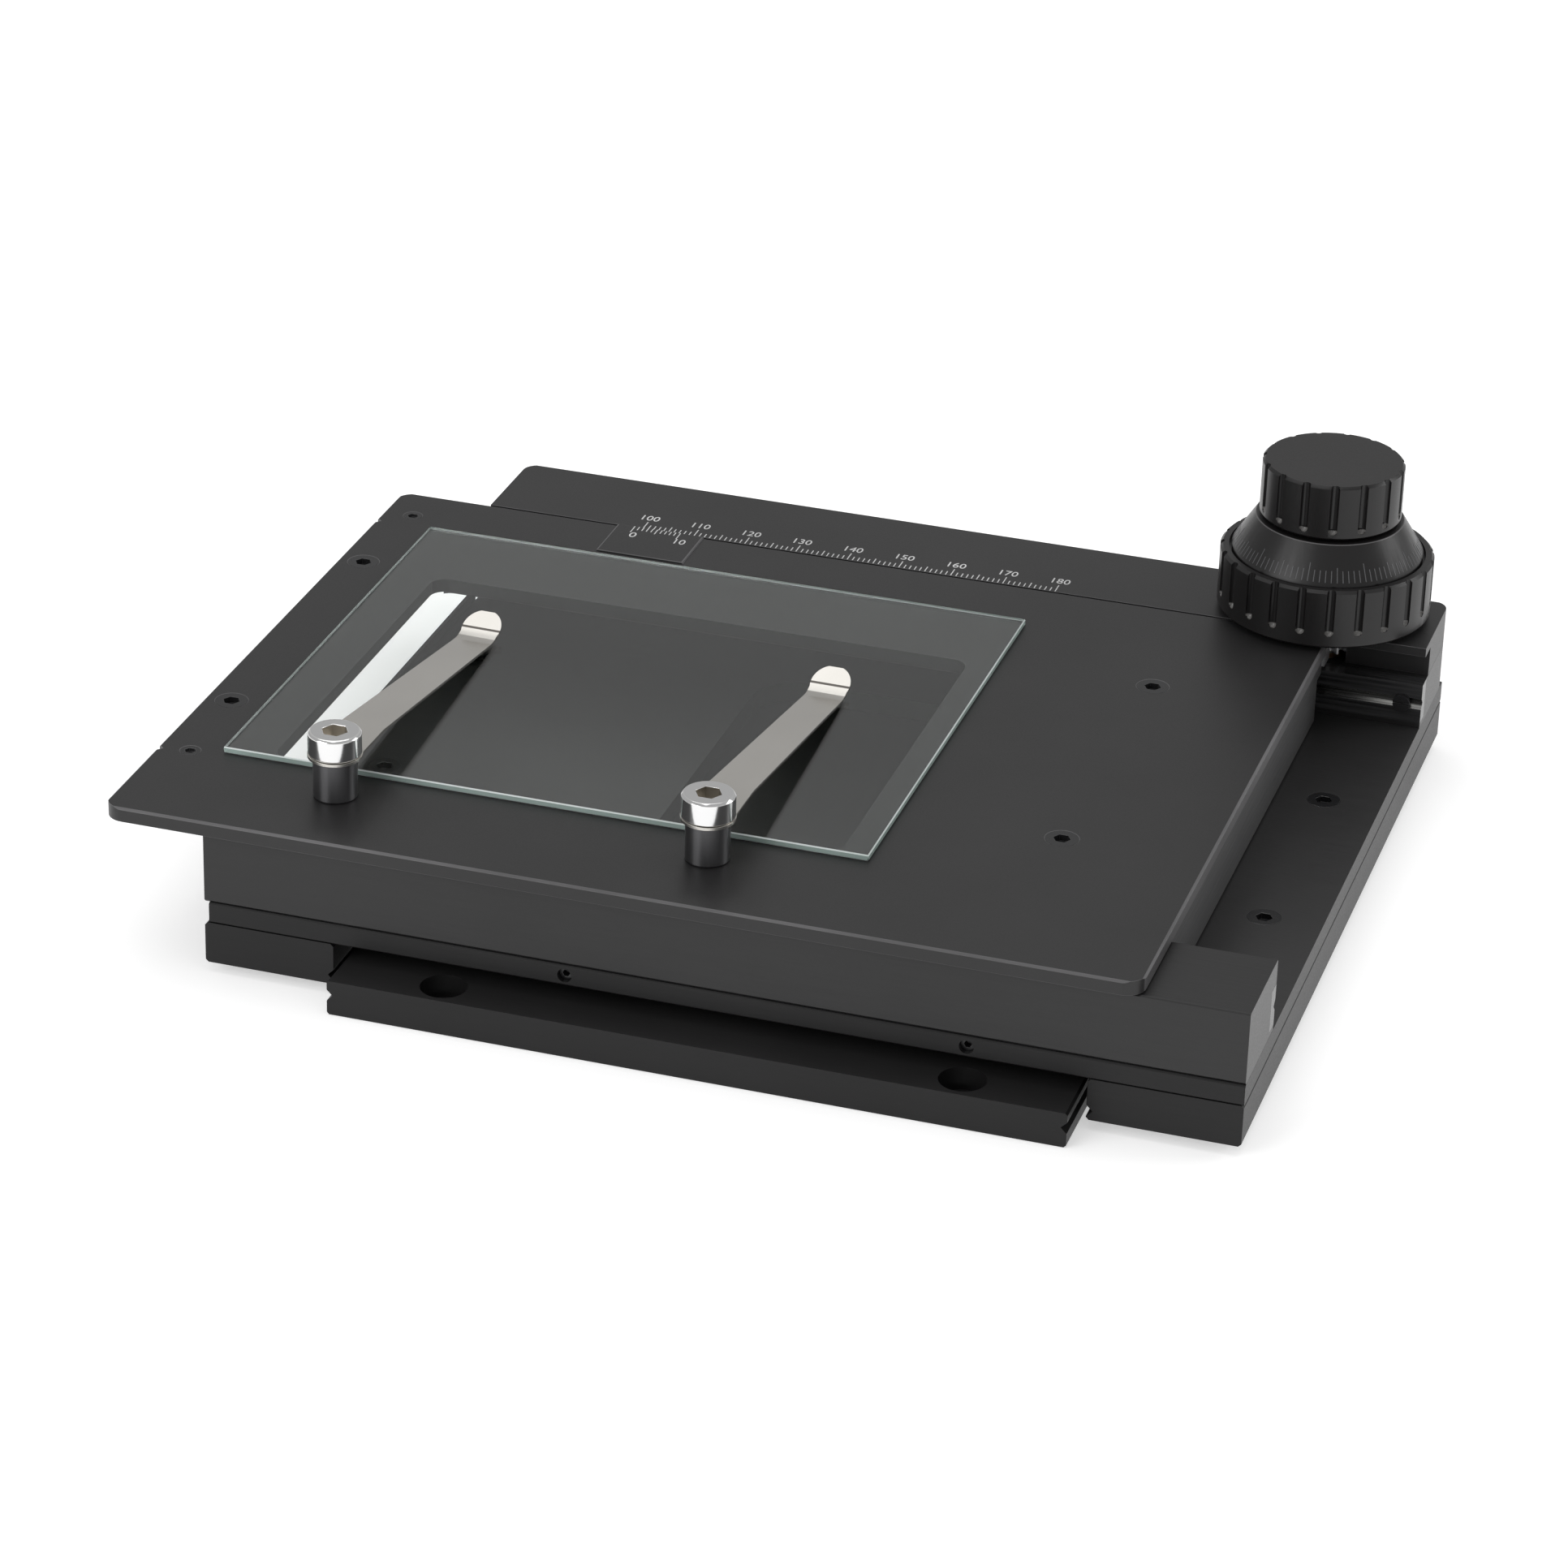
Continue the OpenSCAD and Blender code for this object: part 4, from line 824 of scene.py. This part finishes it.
@dataclass
class Stroke:
    """A painted or filled line, slightly proud of the metal, with an eased upper rim.

    Attributes:
        length: Its length.
        width: Its width.
        height: Its height over the metal.
        rim: Share of the height that the eased rim takes.
    """

    length: float
    width: float
    height: float
    rim: float = 0.4

    def model(self) -> bpy.types.Object:
        """Models the stroke from the origin along +Y.

        Returns:
            The stroke, to be copied to its places.
        """
        deselect_all()
        bpy.ops.mesh.primitive_plane_add(size=1.0)
        made = bpy.context.active_object
        bpy.ops.object.mode_set(mode="EDIT")
        bpy.ops.mesh.select_all(action="SELECT")
        bpy.ops.transform.resize(value=(self.width, self.length, 1.0))
        bpy.ops.transform.translate(value=(0.0, self.length / 2.0, 0.0))
        bpy.ops.mesh.extrude_region_move(TRANSFORM_OT_translate={"value": (0.0, 0.0, self.height)})
        bpy.ops.mesh.bevel(offset=self.height * self.rim, segments=1)
        bpy.ops.mesh.select_all(action="SELECT")
        bpy.ops.mesh.normals_make_consistent(inside=False)
        bpy.ops.object.mode_set(mode="OBJECT")
        return made


@dataclass
class Numeral:
    """A plain number on a scale, as thin filled strokes.

    Attributes:
        text: The number.
        width: Width of the whole number.
        height: Height of its digits.
        depth: Height over the metal.
        thickness: Thickness of the text before it is scaled, in text units.
        boldness: How much its strokes are widened, in text units.
        steps: Steps along each curve of a digit.
        weld: Points nearer than this are made one.
    """

    text: str
    width: float
    height: float
    depth: float
    thickness: float = 0.01
    boldness: float = 0.004
    steps: int = 6
    weld: float = 1e-7

    def model(self) -> bpy.types.Object:
        """Models the number flat on the origin, centred, its face up.

        Returns:
            The number as a mesh.
        """
        deselect_all()
        bpy.ops.object.text_add()
        made = bpy.context.active_object
        made.data.body = self.text
        made.data.extrude = self.thickness
        made.data.offset = self.boldness
        made.data.resolution_u = self.steps
        bpy.ops.object.convert(target="MESH")
        made = bpy.context.active_object
        points = [v.co for v in made.data.vertices]
        low = Vector(min(p[i] for p in points) for i in range(3))
        high = Vector(max(p[i] for p in points) for i in range(3))
        middle, span = (low + high) / 2.0, high - low
        scale = Matrix.Diagonal((self.width / span.x, self.height / span.y, self.depth / span.z, 1.0))
        made.data.transform(scale @ Matrix.Translation(-middle))
        made.data.transform(Matrix.Translation((0.0, 0.0, self.depth / 2.0)))
        activate(made)
        bpy.ops.object.mode_set(mode="EDIT")
        bpy.ops.mesh.select_all(action="SELECT")
        bpy.ops.mesh.remove_doubles(threshold=self.weld)
        bpy.ops.mesh.normals_make_consistent(inside=False)
        bpy.ops.object.mode_set(mode="OBJECT")
        return made


def stroke_models(lengths: dict[Rank, float], width: float, height: float) -> dict[Rank, bpy.types.Object]:
    """Models one stroke for each rank of division.

    Args:
        lengths: Length of each rank's divisions.
        width: Width of a division.
        height: Height over the metal.

    Returns:
        The stroke of each rank.
    """
    return {rank: Stroke(length, width, height).model() for rank, length in lengths.items()}


@dataclass
class LineScale:
    """A straight scale: its divisions and its numbers.

    Attributes:
        name: Start of the pieces' names.
        body: The body that carries it.
        zero: Where the first division starts, on the metal's surface.
        pitch: Distance between divisions.
        values: Number of divisions after the first.
        first: Value of the first division.
        labels: Values that are numbered, with the centre of each number.
        heading: +1 where divisions run back from the zero line, -1 where they run forward.
        lengths: Length of each rank's divisions.
        width: Width of a division.
        height: Height of divisions and numbers over the metal.
        digit: Width and height of one digit.
        narrow: Share of a digit's width by which a number with a 1 in it is narrower.
    """

    name: str
    body: str
    zero: Vector
    pitch: float
    values: int
    first: int
    labels: dict[str, Vector]
    heading: float = 1.0
    lengths: dict[Rank, float] = field(
        default_factory=lambda: {Rank.MINOR: 1.5 * MM, Rank.MIDDLE: 2.1 * MM, Rank.MAJOR: 2.8 * MM}
    )
    width: float = 0.20 * MM
    height: float = 0.03 * MM
    digit: Vector = field(default_factory=lambda: Vector((1.32 * MM, 2.1 * MM)))
    narrow: float = 0.45

    def build(self) -> list[bpy.types.Object]:
        """Builds the divisions and the numbers.

        Returns:
            Both pieces.
        """
        models = stroke_models(self.lengths, self.width, self.height)
        turn = Matrix.Rotation(0.0 if self.heading > 0 else math.pi, 4, "Z")
        strokes = []
        for step in range(self.values + 1):
            place = Matrix.Translation(self.zero + Vector((step * self.pitch, 0.0, 0.0))) @ turn
            strokes.append(twin(models[rank_of(self.first + step)], "stroke", place))
        for model in models.values():
            bpy.data.objects.remove(model)
        divisions = join(self.name + "_divisions", strokes)
        numbers = []
        for text, centre in self.labels.items():
            width = self.digit.x * (len(text) - (self.narrow if "1" in text else 0.0))
            numeral = Numeral(text, width, self.digit.y, self.height).model()
            numeral.data.transform(Matrix.Translation(centre))
            numbers.append(numeral)
        numerals = join(self.name + "_numerals", numbers)
        for piece in (divisions, numerals):
            dress(piece, PAINT)
            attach(piece, self.body)
        return [divisions, numerals]


@dataclass
class ConeDial:
    """Fine graduations round the cone of the large knob.

    Attributes:
        axis: The knobs' axis, at any height.
        low: Radius and height where the cone's slope starts.
        high: Radius and height where it ends.
        count: Number of graduations.
        width: Width of a graduation.
        height: Height over the metal.
        start: Distance up the slope where the graduations start.
        lengths: Length of each rank's graduations.
    """

    axis: Vector
    low: Vector
    high: Vector
    count: int = 100
    width: float = 0.16 * MM
    height: float = 0.03 * MM
    start: float = 0.35 * MM
    lengths: dict[Rank, float] = field(
        default_factory=lambda: {Rank.MINOR: 2.2 * MM, Rank.MIDDLE: 2.8 * MM, Rank.MAJOR: 3.4 * MM}
    )

    def build(self) -> bpy.types.Object:
        """Builds the ring of graduations on the slope.

        Returns:
            The piece.
        """
        slope = self.high - self.low
        tilt = math.atan2(slope.y, -slope.x)
        models = stroke_models(self.lengths, self.width, self.height)
        lift = Matrix.Translation(self.axis) @ Matrix.Translation((0.0, 0.0, self.low.y))
        strokes = []
        for step in range(self.count):
            lean = Matrix.Translation((0.0, -self.low.x, 0.0)) @ Matrix.Rotation(tilt, 4, "X")
            rise = Matrix.Translation((0.0, self.start, 0.0))
            around = Matrix.Rotation(math.tau * step / self.count, 4, "Z")
            strokes.append(twin(models[rank_of(step)], "stroke", lift @ around @ lean @ rise))
        for model in models.values():
            bpy.data.objects.remove(model)
        piece = join("dial_graduations", strokes)
        dress(piece, SCRIBE)
        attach(piece, "x_drive")
        return piece


@dataclass(frozen=True)
class Lamp:
    """A soft square lamp that faces the object.

    Attributes:
        name: Its name.
        place: Where it hangs.
        size: Edge length.
        power: Watts.
    """

    name: str
    place: tuple[float, float, float]
    size: float
    power: float

    def hang(self) -> None:
        """Hangs the lamp."""
        deselect_all()
        place = Vector(self.place)
        bpy.ops.object.light_add(type="AREA", location=place)
        made = bpy.context.active_object
        made.name = self.name
        made.data.size = self.size
        made.data.energy = self.power
        made.rotation_euler = (-place).to_track_quat("-Z", "Y").to_euler()


LAMPS = (
    Lamp("overhead", (-0.15, 0.1, 1.3), 1.3, 5.5),
    Lamp("front_left", (-0.70, -0.93, 0.59), 0.8, 5.0),
    Lamp("right_rear", (1.03, 0.53, 0.59), 0.6, 3.2),
)


@dataclass
class Studio:
    """The pale floor, the soft lamps, the white surround and the camera.

    Attributes:
        azimuth: Camera's turn round the object, in degrees; 0 looks along +Y.
        elevation: Camera's height above the horizon, in degrees.
        roll: Camera's roll, in degrees.
        distance: From the target to the camera.
        target: The point that the camera was measured from.
        offset: The target's place in the picture plane.
        lens: Focal length in millimetres.
        sensor: Width of the sensor in millimetres.
        near: Nearest distance that the camera shows.
        floor_size: Edge length of the floor.
        floor_drop: How far the floor lies under the object.
        floor_tone: Its colour.
        floor_rough: Its roughness.
        floor_specular: Its specular level.
        floor_glow: Glow that lifts it to white where it is looked at.
        world_light: Level of the surround as a light.
        world_white: Level of the surround where the camera sees it.
    """

    azimuth: float = 16.74
    elevation: float = 26.70
    roll: float = -1.72
    distance: float = 0.9423
    target: Vector = field(default_factory=lambda: Vector((-0.01325, -0.0059, 0.0293)))
    offset: Vector = field(default_factory=lambda: Vector((-0.00510, 0.01088)))
    lens: float = 124.1
    sensor: float = 36.0
    near: float = 0.01
    floor_size: float = 8.0
    floor_drop: float = 0.0001
    floor_tone: float = 0.82
    floor_rough: float = 0.9
    floor_specular: float = 0.1
    floor_glow: float = 0.5
    world_light: float = 0.45
    world_white: float = 1.0

    def build(self) -> None:
        """Builds floor, lamps, surround and camera."""
        bpy.context.scene.view_settings.view_transform = "Standard"
        self.floor()
        self.surround()
        for lamp in LAMPS:
            lamp.hang()
        self.camera()

    def floor(self) -> None:
        """Lays a large pale floor that goes up to white where the camera looks at it."""
        deselect_all()
        bpy.ops.mesh.primitive_plane_add(size=self.floor_size, location=(0.0, 0.0, -self.floor_drop))
        made = bpy.context.active_object
        made.name = "floor"
        paper = bpy.data.materials.new("paper_floor")
        paper.use_nodes = True
        tree = paper.node_tree
        shader = tree.nodes["Principled BSDF"]
        shader.inputs["Base Color"].default_value = (self.floor_tone,) * 3 + (1.0,)
        shader.inputs["Roughness"].default_value = self.floor_rough
        shader.inputs["Specular IOR Level"].default_value = self.floor_specular
        shader.inputs["Emission Color"].default_value = (1.0, 1.0, 1.0, 1.0)
        seen = self.seen(tree)
        glow = tree.nodes.new("ShaderNodeMath")
        glow.operation = "MULTIPLY"
        glow.inputs[1].default_value = self.floor_glow
        tree.links.new(seen, glow.inputs[0])
        tree.links.new(glow.outputs["Value"], shader.inputs["Emission Strength"])
        made.data.materials.append(paper)

    @staticmethod
    def seen(tree: bpy.types.NodeTree) -> bpy.types.NodeSocket:
        """Gives 1 where the camera looks straight, by a mirror image or through glass.

        Args:
            tree: The node tree of a material or of the world.

        Returns:
            The value's socket.
        """
        path = tree.nodes.new("ShaderNodeLightPath")
        first = tree.nodes.new("ShaderNodeMath")
        first.operation = "MAXIMUM"
        tree.links.new(path.outputs["Is Camera Ray"], first.inputs[0])
        tree.links.new(path.outputs["Is Glossy Ray"], first.inputs[1])
        both = tree.nodes.new("ShaderNodeMath")
        both.operation = "MAXIMUM"
        tree.links.new(first.outputs["Value"], both.inputs[0])
        tree.links.new(path.outputs["Is Transmission Ray"], both.inputs[1])
        return both.outputs["Value"]

    def surround(self) -> None:
        """Makes the world an even soft light that looks white."""
        world = bpy.data.worlds.new("surround")
        bpy.context.scene.world = world
        world.use_nodes = True
        tree = world.node_tree
        back = tree.nodes["Background"]
        back.inputs["Color"].default_value = (1.0, 1.0, 1.0, 1.0)
        path = tree.nodes.new("ShaderNodeLightPath")
        level = tree.nodes.new("ShaderNodeMapRange")
        level.inputs["To Min"].default_value = self.world_light
        level.inputs["To Max"].default_value = self.world_white
        tree.links.new(path.outputs["Is Camera Ray"], level.inputs["Value"])
        tree.links.new(level.outputs["Result"], back.inputs["Strength"])

    def camera(self) -> None:
        """Sets the camera at the measured angle, distance and roll."""
        a, e, r = (math.radians(v) for v in (self.azimuth, self.elevation, self.roll))
        back = Vector((math.sin(a) * math.cos(e), -math.cos(a) * math.cos(e), math.sin(e)))
        right = Vector((math.cos(a), math.sin(a), 0.0))
        up = back.cross(right)
        side = math.cos(r) * right - math.sin(r) * up
        rise = math.sin(r) * right + math.cos(r) * up
        place = self.target - self.offset.x * side - self.offset.y * rise + self.distance * back
        deselect_all()
        bpy.ops.object.camera_add()
        made = bpy.context.active_object
        made.name = "camera"
        made.data.lens = self.lens
        made.data.sensor_width = self.sensor
        made.data.clip_start = self.near
        turn = Matrix((side, rise, back)).transposed().to_4x4()
        made.matrix_world = Matrix.Translation(place) @ turn
        bpy.context.scene.camera = made


EASED = (
    # Base and carriage plate: their faces that look up get painted light from the lit-top finish.
    TrackPlate("base_plate", DULL, 0.35, accent=PAINTED_LIT_TOP),
    EasedPart("side_rail_left", DULL, 0.3),
    EasedPart("side_rail_right", DULL, 0.3),
    TrackPlate("carriage_plate", DULL, 0.3, accent=PAINTED_LIT_TOP),
    DrawnPart(
        "channel_end_plate", MILLED, 0.1, draws=((Vector((0.0, -1.0, 0.0)), 0.6), (Vector((0.0, 1.0, 0.0)), 0.6)),
    ),
    EasedPart("front_bar", MILLED, 0.35),
    EasedPart("rear_riser", MILLED, 0.3),
    # Scale block and vernier: their eased edges carry a painted highlight.
    EasedPart("scale_block", ANODISED, 0.7, rim=PAINTED_HIGHLIGHT),
    # Slide frame: its lighter colour is painted light, and its eased edges carry a painted highlight.
    DrawnPart("slide_frame", SLIDE_PAINTED_LIGHT, 0.3, rim=PAINTED_HIGHLIGHT, draws=((Vector((1.0, 0.0, 0.0)), 2.2),)),
    # Top plate: painted highlight on its eased edges and chamfers, painted light on its left and right ends.
    PlateWithMilledEnds("top_plate", ANODISED, 0.35, rim=PAINTED_HIGHLIGHT, accent=PAINTED_HIGHLIGHT),
    EasedPart("vernier_plate", ANODISED, 0.15, rim=PAINTED_HIGHLIGHT),
    EasedPart("front_guide_strip", STRIP, 0.12),
    ChamferedPart("rear_guide_strip", STRIP, 0.12, rim=FLANK, accent=FLANK),
    GlassPlate("glass_plate", GLASS, 0.2, 1, rim=GLASS_CHAMFER, accent=GLASS_EDGE),
    EasedPart("clip_post_left", POST, 0.35, 3),
    EasedPart("clip_post_right", POST, 0.35, 3),
    SocketScrew("clip_screw_left", CHROME, 0.42, 3, rim=CHROME_RIM_HIGHLIGHT, accent=SOCKET),
    SocketScrew("clip_screw_right", CHROME, 0.42, 3, rim=CHROME_RIM_HIGHLIGHT, accent=SOCKET),
    BentBlade("clip_blade_left", SPRING, 0.06, accent=FOLD_SHADE, smooth_degrees=15.0),
    BentBlade("clip_blade_right", SPRING, 0.06, accent=FOLD_SHADE, smooth_degrees=15.0),
    # Plate and corner screws: their eased edges carry a painted highlight.
    EasedPart("plate_screws", SCREW, 0.12, rim=SCREW_EDGE_HIGHLIGHT),
    EasedPart("corner_screws", SCREW, 0.08, rim=SCREW_EDGE_HIGHLIGHT),
    # Rail screws: their eased edges carry the painted glint.
    EasedPart("rail_screws", SCREW, 0.18, rim=SCREW_GLINT),
    EasedPart("edge_grub_screws", SCREW, 0.08),
    EasedPart("strip_end_screws", SCREW, 0.1),
    # Knobs and dial cone: painted highlight on the eased edges, painted glint on the flutes' round ends.
    FlutedKnob(
        "x_knob_ring", KNOB, 0.3, 3, rim=KNOB_EDGE_HIGHLIGHT, accent=FLUTE_END_GLINT, radius_mm=19.5, count=23, phase=-75.2,
        end_mm=33.3,
    ),
    EasedPart("x_dial_cone", KNOB, 0.15, rim=KNOB_EDGE_HIGHLIGHT),
    FlutedKnob(
        "y_knob_cap", KNOB, 0.3, 3, rim=KNOB_EDGE_HIGHLIGHT, accent=FLUTE_END_GLINT, radius_mm=12.9, count=15, phase=-76.4,
        end_mm=50.3,
    ),
)

CARRIED = (
    CarriedParts(GROUND, (
        "y_rack", "y_stop_pin", "slide_strip_front", "slide_strip_rear", "x_stop_pin", "x_rack", "x_sleeve",
        "x_pinion", "y_shaft", "y_pinion",
    )),
    CarriedParts(BRONZE, (
        "y_cage_left", "y_cage_right", "x_cage_front", "x_cage_rear", "upper_bush", "sleeve_bush", "shaft_bush",
    )),
    CarriedParts(BALL, ("y_balls_left", "y_balls_right", "x_balls_front", "x_balls_rear")),
    CarriedParts(SCREW, (
        "y_rack_screws", "end_plate_screws", "front_bar_screws", "rear_block_screws", "x_rack_screws",
        "x_knob_grub", "y_knob_grub",
    )),
    CarriedParts(SLIP, ("thrust_washer",)),
)

MAIN_SCALE = LineScale(
    name="main_scale",
    body="y_carriage",
    zero=Vector((-58.2, 65.75, 29.2)) * MM,
    pitch=1.0 * MM,
    values=80,
    first=100,
    labels={str(v): Vector((-58.2 + v - 100, 70.4, 29.2)) * MM for v in range(100, 181, 10)},
)

VERNIER = LineScale(
    name="vernier",
    body="x_carriage",
    zero=Vector((-59.6, 65.0, 29.6)) * MM,
    pitch=0.9 * MM,
    values=10,
    first=0,
    labels={"0": Vector((-58.75, 61.2, 29.6)) * MM, "10": Vector((-49.45, 61.2, 29.6)) * MM},
    heading=-1.0,
)

DIAL = ConeDial(
    axis=KNOB_AXIS,
    low=Vector((17.4, 41.8)) * MM,
    high=Vector((13.5, 48.0)) * MM,
)


def main() -> None:
    """Builds the stage's looks in order and reports each piece."""
    logging.basicConfig(level=logging.INFO, format="%(name)s: %(message)s")
    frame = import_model()
    crew = Crew(frame)
    for group in CARRIED:
        group.dress(crew)
        LOG.info("%s on %d nodes", group.finish.name, len(group.nodes))
    for part in EASED:
        piece = part.build(crew)
        LOG.info("%s with %d faces", piece.name, len(piece.data.polygons))
    for piece in (*MAIN_SCALE.build(), *VERNIER.build(), DIAL.build()):
        LOG.info("%s with %d faces", piece.name, len(piece.data.polygons))
    Studio().build()


if __name__ == "__main__":
    main()
